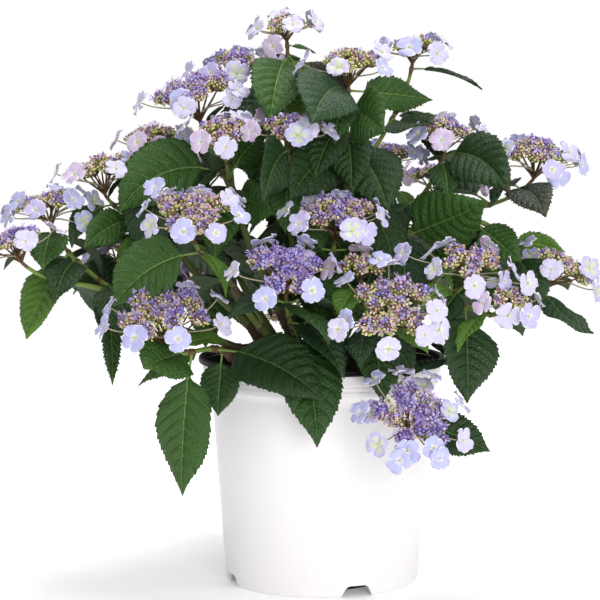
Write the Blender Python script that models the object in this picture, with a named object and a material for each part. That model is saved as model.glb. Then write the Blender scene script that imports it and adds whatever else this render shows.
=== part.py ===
"""A lacecap hydrangea in a nursery pot: a clump of canes that fork into leafy shoots with flat flower heads.

Metres, Z up. The origin is the middle of the pot's underside, X runs to the right and Y to the back.
Every cane is a node. Its shoots, opposite leaves and flower heads are one fused node of foliage.
"""

import math
import random
from collections import namedtuple

import bmesh
import bpy
from mathutils import Matrix, Vector
from mathutils.bvhtree import BVHTree

CLEAR = 0.0003  # the gap between two nodes that rest on each other
UP = Vector((0.0, 0.0, 1.0))
SEED = 7

# The pot: a tapered tub with a rolled lip, a collar under it and four notches in the foot.
POT_HEIGHT = 0.210
POT_SIDES, POT_SHARP = 36, 32  # an edge of the pot that turns more degrees than this stays crisp
WALL = 0.0022
LIP_RADIUS, LIP_HEIGHT, LIP_WIDTH = 0.1145, 0.0055, 0.0050
COLLAR_RADIUS, COLLAR_HEIGHT = 0.1105, 0.0100
BAND_RADIUS, BAND_HEIGHT = 0.1080, 0.0100
BODY_TOP_RADIUS, SHOULDER_HEIGHT = 0.1025, 0.0060
BASE_RADIUS, BASE_ROUNDING = 0.0895, 0.0030
BEVEL = 0.0012  # the small chamfer on the lip, the collar and the band
FOOT_WIDTH = 0.0037  # the ring that the wall stands on
FLOOR_THICKNESS, SOLE_RADIUS = 0.0025, 0.0580  # the middle of the floor stands on the ground too
GUTTER_HEIGHT, GUTTER_SLOPE = 0.0115, 0.0030  # the raised ring of floor between the middle and the foot
NOTCHES, FIRST_NOTCH = 4, -69.3  # count, and the bearing of the first in degrees
NOTCH_FOOT, NOTCH_TOP, NOTCH_HEIGHT = 0.031, 0.020, 0.0105  # width at the ground, width at the top, height
DRAIN_RADIUS, DRAIN_FROM_AXIS, DRAIN_SIDES = 0.0060, 0.0735, 10
PAST = 0.010  # how far a cutter runs past what it cuts

SOIL_HEIGHT = 0.1820  # the potting mix ends a little below the lip

# Canes, shoots and what they carry.
CANE_RADIUS, CANE_TIP_RADIUS, CANE_FLARE = 0.0042, 0.0030, 1.45
CANE_SIDES, CANE_RINGS, CANE_SHARP = 6, 6, 62
FORK_LENGTH, FORK_STEP = 0.016, 0.0025  # the stub that foliage starts with, and the step between its shoots
SHOOT_RADIUS, SHOOT_TIP_RADIUS = 0.0026, 0.0016
SHOOT_SIDES, SHOOT_RINGS = 3, 6
HUB_DEPTH = 0.62  # the hub's depth under its disc, as a share of the disc's radius
DISC_RIM, DISC_TOP, DISC_DOME = 10, 5, 0.30
FLORET_RADIUS, FLORET_POINTS, FLORET_THICKNESS, PEDICEL_RADIUS = 0.0125, 4, 0.0014, 0.0011

# Leaves. The blade is keeled, and widest a little under its middle.
PETIOLE_RADIUS, PETIOLE_SHARE = 0.0013, 0.16
LEAF_LENGTH, LEAF_WIDTH, LEAF_THICKNESS, LEAF_FOLD = 0.108, 0.48, 0.0016, 3.5
LEAF_STATIONS = ((0.45, 1.0), (0.76, 0.72))  # share of the length, share of the width
GUARD_THICKNESS, GUARD_WIDTH = 0.0034, 1.02
FIRST_PAIR, PAIR_STEP, BUD_LEAF = 0.012, 0.034, 0.60
SKIRT_HEIGHT, SKIRT_RISE = 0.200, 0.35  # how low the rule's leaves may hang at the lip, and the rise outwards
LEAF_TRIES = (  # turn and lift in degrees, and a share of the length
    (0, 0, 1.00), (14, 0, 1.00), (-14, 0, 1.00), (0, -18, 1.00), (28, -8, 0.96), (-28, -8, 0.96),
    (0, 18, 0.92), (20, -30, 0.88), (-20, -30, 0.88), (44, 0, 0.84), (-44, 0, 0.84), (0, -48, 0.80),
)

KEPT_SHARE = 0.80  # joining cuts small facets round each root, and this share of them stays

Leaf = namedtuple("Leaf", "root bearing rise bend roll length width")

# Canes: bearing and distance of the foot from the axis, and where the fork stands (right, back, up).
CANES = {
    "left_low": (185, 0.042, (-0.180, -0.030, 0.262)),
    "left_front": (212, 0.044, (-0.082, -0.070, 0.216)),
    "left_mid": (155, 0.038, (-0.132, 0.010, 0.305)),
    "upper_left": (140, 0.022, (-0.078, 0.000, 0.345)),
    "centre_left": (236, 0.034, (-0.075, -0.060, 0.270)),
    "centre_front": (262, 0.040, (-0.022, -0.055, 0.225)),
    "top": (95, 0.012, (-0.030, 0.015, 0.330)),
    "centre": (290, 0.016, (0.004, -0.035, 0.270)),
    "top_right": (40, 0.022, (0.022, 0.020, 0.330)),
    "right_up": (5, 0.030, (0.068, 0.005, 0.305)),
    "right_droop": (352, 0.044, (0.130, -0.030, 0.325)),
    "right_front": (328, 0.042, (0.092, -0.062, 0.258)),
    "front_right": (290, 0.036, (0.036, -0.070, 0.235)),
    "front_low": (308, 0.046, (0.050, -0.082, 0.222)),
    "back_left": (135, 0.040, (-0.080, 0.075, 0.280)),
    "back": (92, 0.040, (0.000, 0.080, 0.290)),
    "back_right": (48, 0.042, (0.075, 0.070, 0.280)),
}

# Flower heads: the cane, the middle of the disc (right, back, up), its radius, the bearing that it faces,
# how far it tips over, its sterile florets, where round the disc the first one stands, and the bearing of the
# first pair of leaves.
HEADS = {
    "crest": ("top", (-0.034, 0.020, 0.5125), 0.020, 200, 8, 6, 290, 110),
    "above_left": ("upper_left", (-0.085, 0.040, 0.476), 0.028, 250, 12, 7, 355, 175),
    "left_tier": ("upper_left", (-0.117, -0.005, 0.449), 0.038, 235, 20, 5, 305, 30),
    "left_tuck": ("upper_left", (-0.088, -0.075, 0.418), 0.024, 262, 22, 6, 290, 115),
    "middle_high": ("top", (-0.029, -0.060, 0.422), 0.028, 268, 12, 5, 275, 125),
    "left_wing": ("left_mid", (-0.157, 0.030, 0.409), 0.025, 200, 6, 5, 185, 10),
    "left_shelf": ("left_mid", (-0.204, 0.000, 0.379), 0.032, 190, 10, 6, 75, 30),
    "left_end": ("left_low", (-0.255, 0.000, 0.347), 0.030, 190, 14, 6, 105, 160),
    "left_tip": ("left_low", (-0.277, -0.060, 0.318), 0.028, 200, 20, 5, 160, 10),
    "left_hidden": ("left_mid", (-0.199, 0.085, 0.300), 0.018, 150, 15, 4, 0, 20),
    "front_left": ("centre_left", (-0.115, -0.125, 0.348), 0.036, 262, 22, 8, 355, 120),
    "front_middle": ("centre_front", (-0.033, -0.145, 0.300), 0.036, 268, 28, 6, 125, 15),
    "middle": ("centre", (0.011, -0.090, 0.344), 0.034, 272, 16, 7, 335, 15),
    "front_full": ("front_right", (0.060, -0.150, 0.268), 0.038, 280, 44, 6, 325, 130),
    "front_tuck": ("front_right", (0.033, -0.112, 0.302), 0.020, 270, 25, 3, 215, 65),
    "top_tier": ("top_right", (0.025, -0.025, 0.477), 0.029, 300, 8, 5, 295, 35),
    "top_end": ("top_right", (0.083, 0.030, 0.493), 0.022, 200, 6, 5, 200, 130),
    "right_tier": ("right_up", (0.115, 0.000, 0.415), 0.026, 290, 14, 6, 70, 80),
    "right_shelf": ("right_up", (0.198, -0.020, 0.394), 0.032, 320, 16, 7, 20, 60),
    "right_hidden": ("back_right", (0.066, 0.080, 0.392), 0.022, 60, 8, 4, 165, 140),
    "right_end": ("right_droop", (0.216, -0.050, 0.295), 0.028, 345, 30, 5, 110, 45),
    "right_rim": ("right_front", (0.128, -0.110, 0.303), 0.028, 290, 22, 7, 95, 100),
    "right_tuck": ("right_front", (0.162, -0.130, 0.274), 0.018, 300, 30, 4, 5, 35),
    "low_front": ("front_low", (0.076, -0.172, 0.177), 0.036, 282, 50, 9, 295, 145),
    "low_left": ("left_front", (-0.139, -0.130, 0.258), 0.044, 255, 20, 8, 30, 40),
    "back_left_high": ("back_left", (-0.115, 0.130, 0.375), 0.032, 130, 16, 7, 0, 105),
    "back_left_low": ("back_left", (-0.130, 0.195, 0.265), 0.034, 125, 30, 7, 0, 50),
    "back_high": ("back", (-0.015, 0.135, 0.420), 0.032, 95, 12, 7, 0, 105),
    "back_middle": ("back", (0.030, 0.200, 0.330), 0.036, 85, 24, 7, 0, 150),
    "back_low": ("back", (-0.035, 0.225, 0.235), 0.034, 95, 40, 7, 0, 145),
    "back_right_high": ("back_right", (0.120, 0.130, 0.365), 0.032, 50, 18, 7, 0, 55),
    "back_right_low": ("back_right", (0.150, 0.175, 0.270), 0.034, 50, 32, 7, 0, 120),
}

# Leaves whose place shapes the crown: the shoot, how far below its hub, where the tip reaches, the bend from
# root to tip, the roll about the midrib, and the width as a share of the length.
OWN_LEAVES = (
    ("low_left", 0.030, (-0.125, -0.115, 0.099), 15, 0, 0.46),
    ("low_left", 0.025, (-0.153, -0.190, 0.223), 10, -40, 0.59),
    ("low_left", 0.058, (0.000, -0.165, 0.192), 35, 35, 0.50),
    ("low_left", 0.065, (-0.094, -0.088, 0.166), 5, -15, 0.60),
    ("front_middle", 0.074, (-0.005, -0.150, 0.148), 60, 0, 0.44),
    ("front_middle", 0.070, (0.012, -0.130, 0.178), 60, 0, 0.40),
    ("front_tuck", 0.050, (0.052, -0.135, 0.185), 60, 0, 0.50),
    ("front_full", 0.050, (0.090, -0.125, 0.210), 25, 30, 0.46),
    ("right_tuck", 0.048, (0.126, -0.143, 0.186), 50, -30, 0.60),
    ("right_end", 0.013, (0.237, -0.126, 0.246), -40, -5, 0.34),
    ("left_end", 0.030, (-0.270, -0.046, 0.231), 20, 0, 0.65),
    ("left_tip", 0.094, (-0.198, -0.063, 0.237), 50, -10, 0.52),
    ("left_end", 0.090, (-0.214, 0.068, 0.306), -45, -10, 0.57),
    ("left_shelf", 0.038, (-0.216, -0.050, 0.314), 40, -70, 0.43),
    ("front_left", 0.019, (-0.185, -0.100, 0.266), 55, -65, 0.61),
    ("left_tier", 0.053, (-0.185, -0.032, 0.344), 85, -75, 0.54),
    ("low_front", 0.020, (0.147, -0.130, 0.141), 15, 62, 0.50),
    ("right_tier", 0.091, (0.145, -0.079, 0.357), -5, 115, 0.53),
    ("right_tier", 0.007, (0.165, -0.090, 0.366), 65, 55, 0.43),
    ("right_shelf", 0.025, (0.196, -0.105, 0.346), 60, 20, 0.40),
    ("top_end", 0.005, (0.150, 0.030, 0.456), 40, 0, 0.34),
    ("top_tier", 0.004, (0.104, 0.033, 0.446), 5, 70, 0.34),
    ("top_end", 0.055, (0.098, -0.052, 0.427), -15, 20, 0.57),
    ("top_tier", 0.026, (0.054, -0.099, 0.420), 30, 75, 0.59),
    ("top_tier", 0.007, (-0.010, -0.119, 0.429), 65, -35, 0.57),
    ("top_tier", 0.021, (-0.017, -0.008, 0.481), 60, -60, 0.45),
    ("top_tier", 0.016, (-0.034, -0.029, 0.434), 50, -85, 0.48),
    ("top_tier", 0.059, (0.059, -0.071, 0.348), 55, 25, 0.56),
    ("top_tier", 0.067, (-0.029, -0.088, 0.360), 50, -60, 0.49),
    ("top_tier", 0.033, (-0.007, -0.061, 0.376), 55, -35, 0.44),
    ("middle_high", 0.004, (-0.052, -0.121, 0.360), 70, -75, 0.55),
    ("left_tuck", 0.052, (-0.050, 0.015, 0.414), 50, 75, 0.50),
    ("left_tuck", 0.077, (-0.044, -0.080, 0.347), 10, 90, 0.50),
    ("crest", 0.016, (-0.047, -0.063, 0.427), 60, -25, 0.47),
    ("right_end", 0.096, (0.177, -0.080, 0.304), 5, 50, 0.51),
    ("right_end", 0.060, (0.223, -0.026, 0.308), 30, 90, 0.35),
    ("left_wing", 0.036, (-0.158, -0.049, 0.300), 85, 0, 0.51),
    ("left_end", 0.004, (-0.252, -0.063, 0.295), 50, -5, 0.51),
    ("left_tip", 0.088, (-0.187, -0.080, 0.200), 20, 0, 0.20),
    ("right_rim", 0.004, (0.096, -0.120, 0.250), 5, -35, 0.59),
    ("low_left", 0.053, (-0.165, -0.092, 0.194), 35, -55, 0.22),
    ("crest", 0.004, (-0.005, 0.028, 0.489), 35, 30, 0.23),
)

# Where the crown stays open to the light: lines of sight from the viewer past these points (right, up) beside
# the pot's axis, and the radius kept free of the rule's leaves. They run this far before and behind the axis.
VIEWER = Vector((-0.02, -2.20, 0.49))
SIGHT_REACH, SIGHT_SIDES = 0.28, 8
OPENINGS = (
    (-0.083, 0.375, 0.010), (-0.055, 0.328, 0.005), (-0.047, 0.237, 0.009), (-0.083, 0.230, 0.008),
    (0.058, 0.418, 0.012), (0.076, 0.371, 0.009), (0.062, 0.354, 0.004), (0.111, 0.236, 0.012),
    (0.162, 0.342, 0.009), (0.192, 0.332, 0.010), (0.110, 0.459, 0.004),
    (0.084, 0.462, 0.010), (-0.284, 0.276, 0.012), (-0.241, 0.233, 0.007), (-0.219, 0.297, 0.004),
)


def heading(bearing, rise=0.0):
    """The unit vector at a bearing round Z, risen above the horizon, both in degrees."""
    turn, lift = math.radians(bearing), math.radians(rise)
    return Vector((math.cos(turn) * math.cos(lift), math.sin(turn) * math.cos(lift), math.sin(lift)))


def clear_scene():
    for obj in list(bpy.data.objects):
        bpy.data.objects.remove(obj)


def add_object(name, mesh, material=None):
    obj = bpy.data.objects.new(name, mesh)
    bpy.context.scene.collection.objects.link(obj)
    if material:
        mesh.materials.append(material)
    return obj


def add_material(name, colour, roughness, metallic=0.0):
    material = bpy.data.materials.new(name)
    material.use_nodes = True
    shader = material.node_tree.nodes["Principled BSDF"]
    shader.inputs["Base Color"].default_value = (*colour, 1.0)
    shader.inputs["Roughness"].default_value = roughness
    shader.inputs["Metallic"].default_value = metallic
    return material


def mesh_of(name, points, faces):
    mesh = bpy.data.meshes.new(name)
    mesh.from_pydata([tuple(p) for p in points], [], faces)
    mesh.validate()
    return mesh


# Paths and tubes.


def bezier(start, start_dir, end, end_dir, count):
    """Points and directions along a limb that leaves start one way and arrives at end the other way."""
    handle = 0.36 * (end - start).length
    a, b, c, d = start, start + start_dir * handle, end - end_dir * handle, end
    path = []
    for step in range(count):
        t = step / (count - 1)
        u = 1.0 - t
        point = a * u**3 + b * (3 * u * u * t) + c * (3 * u * t * t) + d * t**3
        along = (b - a) * (u * u) + (c - b) * (2 * u * t) + (d - c) * (t * t)
        path.append((point, along.normalized()))
    return path


def tube(path, radii, sides):
    """A closed tube round a path of (point, direction), with a flat cut at each end."""
    points, faces = [], []
    side = path[0][1].cross(UP)
    if side.length < 1e-3:
        side = path[0][1].cross(Vector((0.0, 1.0, 0.0)))
    for (point, along), radius in zip(path, radii):
        side = (side - along * side.dot(along)).normalized()
        other = along.cross(side)
        for k in range(sides):
            turn = 2 * math.pi * k / sides
            points.append(point + (side * math.cos(turn) + other * math.sin(turn)) * radius)
    for ring in range(len(path) - 1):
        for k in range(sides):
            low, high = ring * sides, (ring + 1) * sides
            faces.append((low + k, low + (k + 1) % sides, high + (k + 1) % sides, high + k))
    faces.append(tuple(reversed(range(sides))))
    faces.append(tuple(range((len(path) - 1) * sides, len(path) * sides)))
    return points, faces


# Leaves.


def leaf_to(root, tip, bend, roll, width):
    """The leaf that arches from its root to this tip."""
    chord = tip - root
    half = math.radians(bend) / 2
    bearing = math.degrees(math.atan2(chord.y, chord.x))
    rise = math.degrees(math.asin(chord.z / chord.length)) + bend / 2
    return Leaf(root, bearing, rise, bend, roll, chord.length * half / math.sin(half), width)


def leaf_frames(leaf, shares):
    """(point, side, up) at each share of the leaf's length, as it arches from its root to its tip."""
    level = heading(leaf.bearing - 90)
    roll = math.radians(leaf.roll)
    frames, point, done = [], leaf.root.copy(), 0.0
    for share in shares:
        steps = max(1, round((share - done) * 24))
        for step in range(steps):
            mid = done + (share - done) * (step + 0.5) / steps
            step_length = leaf.length * (share - done) / steps
            point = point + heading(leaf.bearing, leaf.rise - leaf.bend * mid) * step_length
        done = share
        up = level.cross(heading(leaf.bearing, leaf.rise - leaf.bend * share))
        side = level * math.cos(roll) - up * math.sin(roll)
        frames.append((point.copy(), side, up * math.cos(roll) + level * math.sin(roll)))
    return frames


def leaf_shape(leaf, thickness=LEAF_THICKNESS, widen=1.0, bare=0.0):
    """A keeled blade with its petiole, from a small root, or from its bare share, to a pointed tip."""
    shares = [bare, *(share for share, _ in LEAF_STATIONS), 1.0]
    half_width = 0.5 * leaf.length * leaf.width * widen
    lift = math.tan(math.radians(LEAF_FOLD))
    frames = leaf_frames(leaf, shares)
    points = []
    for ring, (point, side, up) in enumerate(frames[:-1]):
        half = half_width * LEAF_STATIONS[ring - 1][1] if ring else PETIOLE_RADIUS
        raised = half * lift if ring else PETIOLE_RADIUS
        keel = thickness if ring else PETIOLE_RADIUS
        points += [point + side * half + up * raised, point - up * keel, point - side * half + up * raised]
    tip = len(points)
    points.append(frames[-1][0])
    faces = [(2, 1, 0)]
    for low in range(0, tip - 3, 3):
        faces += [(low + k, low + (k + 1) % 3, low + 3 + (k + 1) % 3, low + 3 + k) for k in range(3)]
    faces += [(tip - 3 + k, tip - 3 + (k + 1) % 3, tip) for k in range(3)]
    return points, faces


# Flower heads.


def head_frame(centre, faces, tips):
    """A matrix whose Z axis is the way that the flower head looks, at the middle of its disc."""
    normal = heading(faces, 90 - tips)
    across = heading(faces + 90)
    return Matrix.Translation(centre) @ Matrix((across, normal.cross(across), normal)).transposed().to_4x4()


def disc_shape(frame, radius, rng):
    """The fertile middle: an uneven low dome over a shallow underside."""
    points, faces = [], []
    for k in range(DISC_RIM):
        turn = 2 * math.pi * k / DISC_RIM
        out = radius * rng.uniform(0.84, 1.06)
        points.append(Vector((out * math.cos(turn), out * math.sin(turn), radius * rng.uniform(-0.06, 0.06))))
    for k in range(DISC_TOP):
        turn = 2 * math.pi * (k + 0.25) / DISC_TOP
        out, high = 0.55 * radius, radius * DISC_DOME * rng.uniform(0.8, 1.1)
        points.append(Vector((out * math.cos(turn), out * math.sin(turn), high)))
    points += [Vector((0, 0, radius * DISC_DOME * 1.1)), Vector((0, 0, -0.16 * radius))]
    top, under = DISC_RIM + DISC_TOP, DISC_RIM + DISC_TOP + 1
    per = DISC_RIM // DISC_TOP
    for k in range(DISC_TOP):
        inner, after = DISC_RIM + k, DISC_RIM + (k + 1) % DISC_TOP
        for j in range(per):
            faces.append((per * k + j, (per * k + j + 1) % DISC_RIM, inner))
        faces.append((inner, (per * k + per) % DISC_RIM, after))
        faces.append((inner, after, top))
    faces += [((k + 1) % DISC_RIM, k, under) for k in range(DISC_RIM)]
    return [frame @ p for p in points], faces


def tapered(first, last, count):
    return [first + (last - first) * k / (count - 1) for k in range(count)]


def floret_shape(centre, normal, root, radius, turn):
    """A sterile floret: a shallow rosette whose pedicel runs back to its root inside the head."""
    side = normal.cross(UP)
    side = side.normalized() if side.length > 1e-3 else Vector((1.0, 0.0, 0.0))
    other = normal.cross(side)

    def around(count, k):
        angle = turn + 2 * math.pi * k / count
        return side * math.cos(angle) + other * math.sin(angle)

    sides = FLORET_POINTS
    points = [centre + around(sides, k) * radius + normal * (0.14 * radius) for k in range(sides)]
    points += [centre + around(3, k) * PEDICEL_RADIUS - normal * FLORET_THICKNESS for k in range(3)]
    top, end = len(points), len(points) + 1
    points += [centre, root]
    faces = [(k, (k + 1) % sides, top) for k in range(sides)]
    faces += [(1, 0, 4), (2, 1, 5), (3, 2, 6), (0, 3, 6), (1, 4, 5), (2, 5, 6), (0, 6, 4)]
    faces += [(4 + (k + 1) % 3, 4 + k, end) for k in range(3)]
    return points, faces


def floret_places(frame, radius, count, first, rng):
    """Where the sterile florets stand round a disc: (centre, normal, root, radius, turn)."""
    for k in range(count):
        turn = math.radians(first) + 2 * math.pi * (k + rng.uniform(-0.22, 0.22)) / count
        out = Vector((math.cos(turn), math.sin(turn), 0.0))
        size = FLORET_RADIUS * rng.uniform(0.90, 1.12)
        away = radius + size * rng.uniform(0.55, 0.95)
        centre = frame @ (out * away + Vector((0, 0, radius * rng.uniform(-0.02, 0.22))))
        lean = rng.uniform(10, 50)
        normal = Vector((0, 0, math.cos(math.radians(lean)))) + out * math.sin(math.radians(lean))
        normal = (frame.to_3x3() @ normal).normalized()
        root = frame @ (out * (0.45 * radius) + Vector((0, 0, 0.02 * radius)))
        yield centre, normal, root, size, rng.uniform(0, math.pi)


# The plant.


class Plant:
    """Holds every shape by the cane that carries it, and refuses one that would touch another."""

    def __init__(self):
        self.canes = {}
        self.shapes = {name: [] for name in CANES}
        self.guards = []

    def guard(self, cane, kind, points, faces):
        tree = BVHTree.FromPolygons(points, faces)
        low = Vector([min(p[i] for p in points) for i in range(3)])
        high = Vector([max(p[i] for p in points) for i in range(3)])
        self.guards.append((cane, kind, low, high, tree))

    def is_free(self, points, faces, skip=lambda cane, kind: False):
        """True where this shape meets no guard, leaving out those that skip(cane, kind) names."""
        tree = BVHTree.FromPolygons(points, faces)
        low = Vector([min(p[i] for p in points) for i in range(3)])
        high = Vector([max(p[i] for p in points) for i in range(3)])
        for cane, kind, other_low, other_high, other in self.guards:
            if skip(cane, kind):
                continue
            if any(low[i] > other_high[i] or high[i] < other_low[i] for i in range(3)):
                continue
            if tree.overlap(other):
                return False
        return True


def grow_cane(plant, name):
    """One tapering cane from its flat cut on the potting mix to its fork."""
    bearing, distance, fork = CANES[name]
    fork = Vector(fork)
    foot = heading(bearing) * distance + UP * (SOIL_HEIGHT + CLEAR)
    lean = (fork - foot).normalized()
    arrive = (lean * 1.2 + UP * 0.3).normalized()
    path = bezier(foot, (UP * 1.4 + lean).normalized(), fork, arrive, CANE_RINGS)
    path[0] = (foot, UP)
    radii = tapered(CANE_RADIUS, CANE_TIP_RADIUS, CANE_RINGS)
    radii[0] *= CANE_FLARE
    shape = tube(path, radii, CANE_SIDES)
    plant.guard(name, "cane", *shape)
    plant.canes[name] = shape
    return path[-1]


def grow_fork(plant, cane, tip):
    """The stub that a cane's foliage starts with, just clear of the cane's tip."""
    point, along = tip
    start = point + along * CLEAR
    path = [(start, along), (start + along * FORK_LENGTH, along)]
    shape = tube(path, (CANE_TIP_RADIUS, SHOOT_RADIUS), CANE_SIDES)
    plant.shapes[cane].append(("fork", cane, *shape))
    plant.guard(cane, "fork", *shape)
    return start, along


def grow_shoot(plant, head, fork, order):
    """A shoot from its cane's fork to the hub of its flower head. Returns its path and the head's frame."""
    cane, centre, radius, faces_to, tips = HEADS[head][:5]
    frame = head_frame(Vector(centre), faces_to, tips)
    normal = frame.to_3x3() @ UP
    hub = Vector(centre) - normal * (HUB_DEPTH * radius)
    start = fork[0] + fork[1] * (FORK_LENGTH - 0.004 - FORK_STEP * order)
    lean = (hub - start).normalized()
    path = bezier(start, (fork[1] + lean).normalized(), hub, (normal + lean).normalized(), SHOOT_RINGS)
    radii = tapered(SHOOT_RADIUS, SHOOT_TIP_RADIUS, SHOOT_RINGS)
    shape = tube([*path, (frame @ (UP * 0.04 * radius), normal)], [*radii, SHOOT_TIP_RADIUS], SHOOT_SIDES)
    plant.shapes[cane].append(("shoot", head, *shape))
    plant.guard(cane, "shoot:" + head, *shape)
    return path, frame


def grow_disc(plant, head, frame):
    cane, radius = HEADS[head][0], HEADS[head][2]
    shape = disc_shape(frame, radius, random.Random(f"{SEED} disc {head}"))
    plant.shapes[cane].append(("disc", head, *shape))
    plant.guard(cane, "disc:" + head, *shape)


def grow_florets(plant, head, frame):
    cane, _, radius, _, _, count, first, _ = HEADS[head]
    rng = random.Random(f"{SEED} florets {head}")
    for place in floret_places(frame, radius, count, first, rng):
        shape = floret_shape(*place)
        if plant.is_free(*shape, lambda other, kind: other == cane and kind.endswith(":" + head)):
            plant.shapes[cane].append(("floret", head, *shape))
            plant.guard(cane, "floret:" + head, *shape)


def point_below(path, below):
    """The point on a shoot this far below its hub, or None past its foot."""
    left = below
    for (high, _), (low, _) in zip(path[::-1], path[-2::-1]):
        step = (high - low).length
        if left <= step:
            return high.lerp(low, left / step)
        left -= step
    return None


def hangs_low(leaf):
    tip, _, _ = leaf_frames(leaf, [1.0])[0]
    out = math.hypot(tip.x, tip.y) - LIP_RADIUS
    return tip.z < SKIRT_HEIGHT + SKIRT_RISE * max(0.0, out)


def grow_leaf(plant, head, leaf, may_hang):
    """Adds one leaf. One that would touch anything is turned or made smaller, and at last left out."""
    cane = HEADS[head][0]
    for turn, lift, scale in LEAF_TRIES:
        tried = leaf._replace(bearing=leaf.bearing + turn, rise=leaf.rise + lift, length=leaf.length * scale)
        if not may_hang and hangs_low(tried):
            continue
        blade = leaf_shape(tried, GUARD_THICKNESS, GUARD_WIDTH, PETIOLE_SHARE)
        whole = leaf_shape(tried)
        if not plant.is_free(*blade):
            continue
        if plant.is_free(*whole, lambda other, kind: other == cane and kind != "cane"):
            plant.shapes[cane].append(("leaf", head, *whole))
            plant.guard(cane, "leaf:" + head, *leaf_shape(tried, bare=0.08))
            return True
    return False


def rule_leaves(head, path):
    """Opposite pairs down a shoot, each a quarter turn from the last, and longer as they go down."""
    first = HEADS[head][7]
    rng = random.Random(f"{SEED} leaves {head} {first}")
    length = sum((high - low).length for (low, _), (high, _) in zip(path, path[1:]))
    below, order = FIRST_PAIR + rng.uniform(0.0, 0.008), 0
    while below < length - 0.004:
        size = LEAF_LENGTH * min(1.0, BUD_LEAF + 0.22 * order) * rng.uniform(0.88, 1.10)
        for side in (0, 180):
            bearing = first + 90 * order + side + rng.uniform(-14, 14)
            rise, bend, roll = rng.uniform(-12, 25), rng.uniform(50, 90), rng.uniform(-25, 25)
            size_here = size * rng.uniform(0.93, 1.05)
            yield Leaf(point_below(path, below), bearing, rise, bend, roll, size_here, LEAF_WIDTH)
        below += PAIR_STEP * rng.uniform(0.85, 1.15)
        order += 1


def keep_open(plant, x, z, radius):
    """Guards a line of sight past this point, so that the rule's leaves stay out of it."""
    middle = Vector((x, 0.0, z))
    sight = (middle - VIEWER).normalized()
    ends = [(middle - sight * SIGHT_REACH, sight), (middle + sight * SIGHT_REACH, sight)]
    plant.guard("open", "open", *tube(ends, (radius, radius), SIGHT_SIDES))


def grow_plant():
    plant = Plant()
    plant.guard("pot", "pot", *lathe_shape(pot_profile(), POT_SIDES))
    plant.guard("pot", "potting_mix", *lathe_shape(soil_profile(), POT_SIDES))
    forks = {name: grow_fork(plant, name, grow_cane(plant, name)) for name in CANES}
    shoots = {}
    for head in HEADS:
        cane = HEADS[head][0]
        order = sum(HEADS[other][0] == cane for other in shoots)
        shoots[head] = grow_shoot(plant, head, forks[cane], order)
    for head, (_, frame) in shoots.items():
        grow_disc(plant, head, frame)
    for head, (_, frame) in shoots.items():
        grow_florets(plant, head, frame)
    for head, below, tip, bend, roll, width in OWN_LEAVES:
        root = point_below(shoots[head][0], below)
        grow_leaf(plant, head, leaf_to(root, Vector(tip), bend, roll, width), may_hang=True)
    for x, z, radius in OPENINGS:
        keep_open(plant, x, z, radius)
    for head, (path, _) in shoots.items():
        for leaf in rule_leaves(head, path):
            grow_leaf(plant, head, leaf, may_hang=False)
    return plant


def shells_of(shape):
    """The connected shells of a bmesh, each as a list of faces."""
    left, shells = set(shape.faces), []
    while left:
        shell, border = [], [left.pop()]
        while border:
            face = border.pop()
            shell.append(face)
            near = {other for edge in face.edges for other in edge.link_faces} & left
            left -= near
            border += near
        shells.append(shell)
    return shells


def volume_of(shell):
    return sum(face.calc_center_median().dot(face.normal) * face.calc_area() for face in shell) / 3


def keep_main_shell(mesh):
    """Fills each hollow that fusing sealed, and drops each scrap that it cut loose."""
    shape = bmesh.new()
    shape.from_mesh(mesh)
    bmesh.ops.triangulate(shape, faces=shape.faces)
    shells = sorted(shells_of(shape), key=volume_of)
    for shell in shells[:-1]:
        bmesh.ops.delete(shape, geom=shell, context="FACES")
    shape.to_mesh(mesh)
    shape.free()


def fuse(name, shapes, material):
    """Joins the shapes of one cane's foliage into one closed body."""
    first, others = shapes[0], shapes[1:]
    obj = add_object(name, mesh_of(name, *first[2:]), material)
    operands = bpy.data.collections.new(name + "_operands")
    bpy.context.scene.collection.children.link(operands)
    for shape in others:
        part = bpy.data.objects.new(name + "_operand", mesh_of(name + "_operand", *shape[2:]))
        operands.objects.link(part)
    union = obj.modifiers.new("join", "BOOLEAN")
    union.operation, union.operand_type, union.solver = "UNION", "COLLECTION", "MANIFOLD"
    union.collection = operands
    bpy.context.view_layer.update()
    graph = bpy.context.evaluated_depsgraph_get()
    joined = bpy.data.meshes.new_from_object(obj.evaluated_get(graph))
    obj.modifiers.clear()
    obj.data = joined
    for part in list(operands.objects):
        bpy.data.objects.remove(part)
    bpy.data.collections.remove(operands)
    keep_main_shell(joined)
    lighten = obj.modifiers.new("lighten", "DECIMATE")
    lighten.ratio = KEPT_SHARE
    return obj


# The pot.


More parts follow.
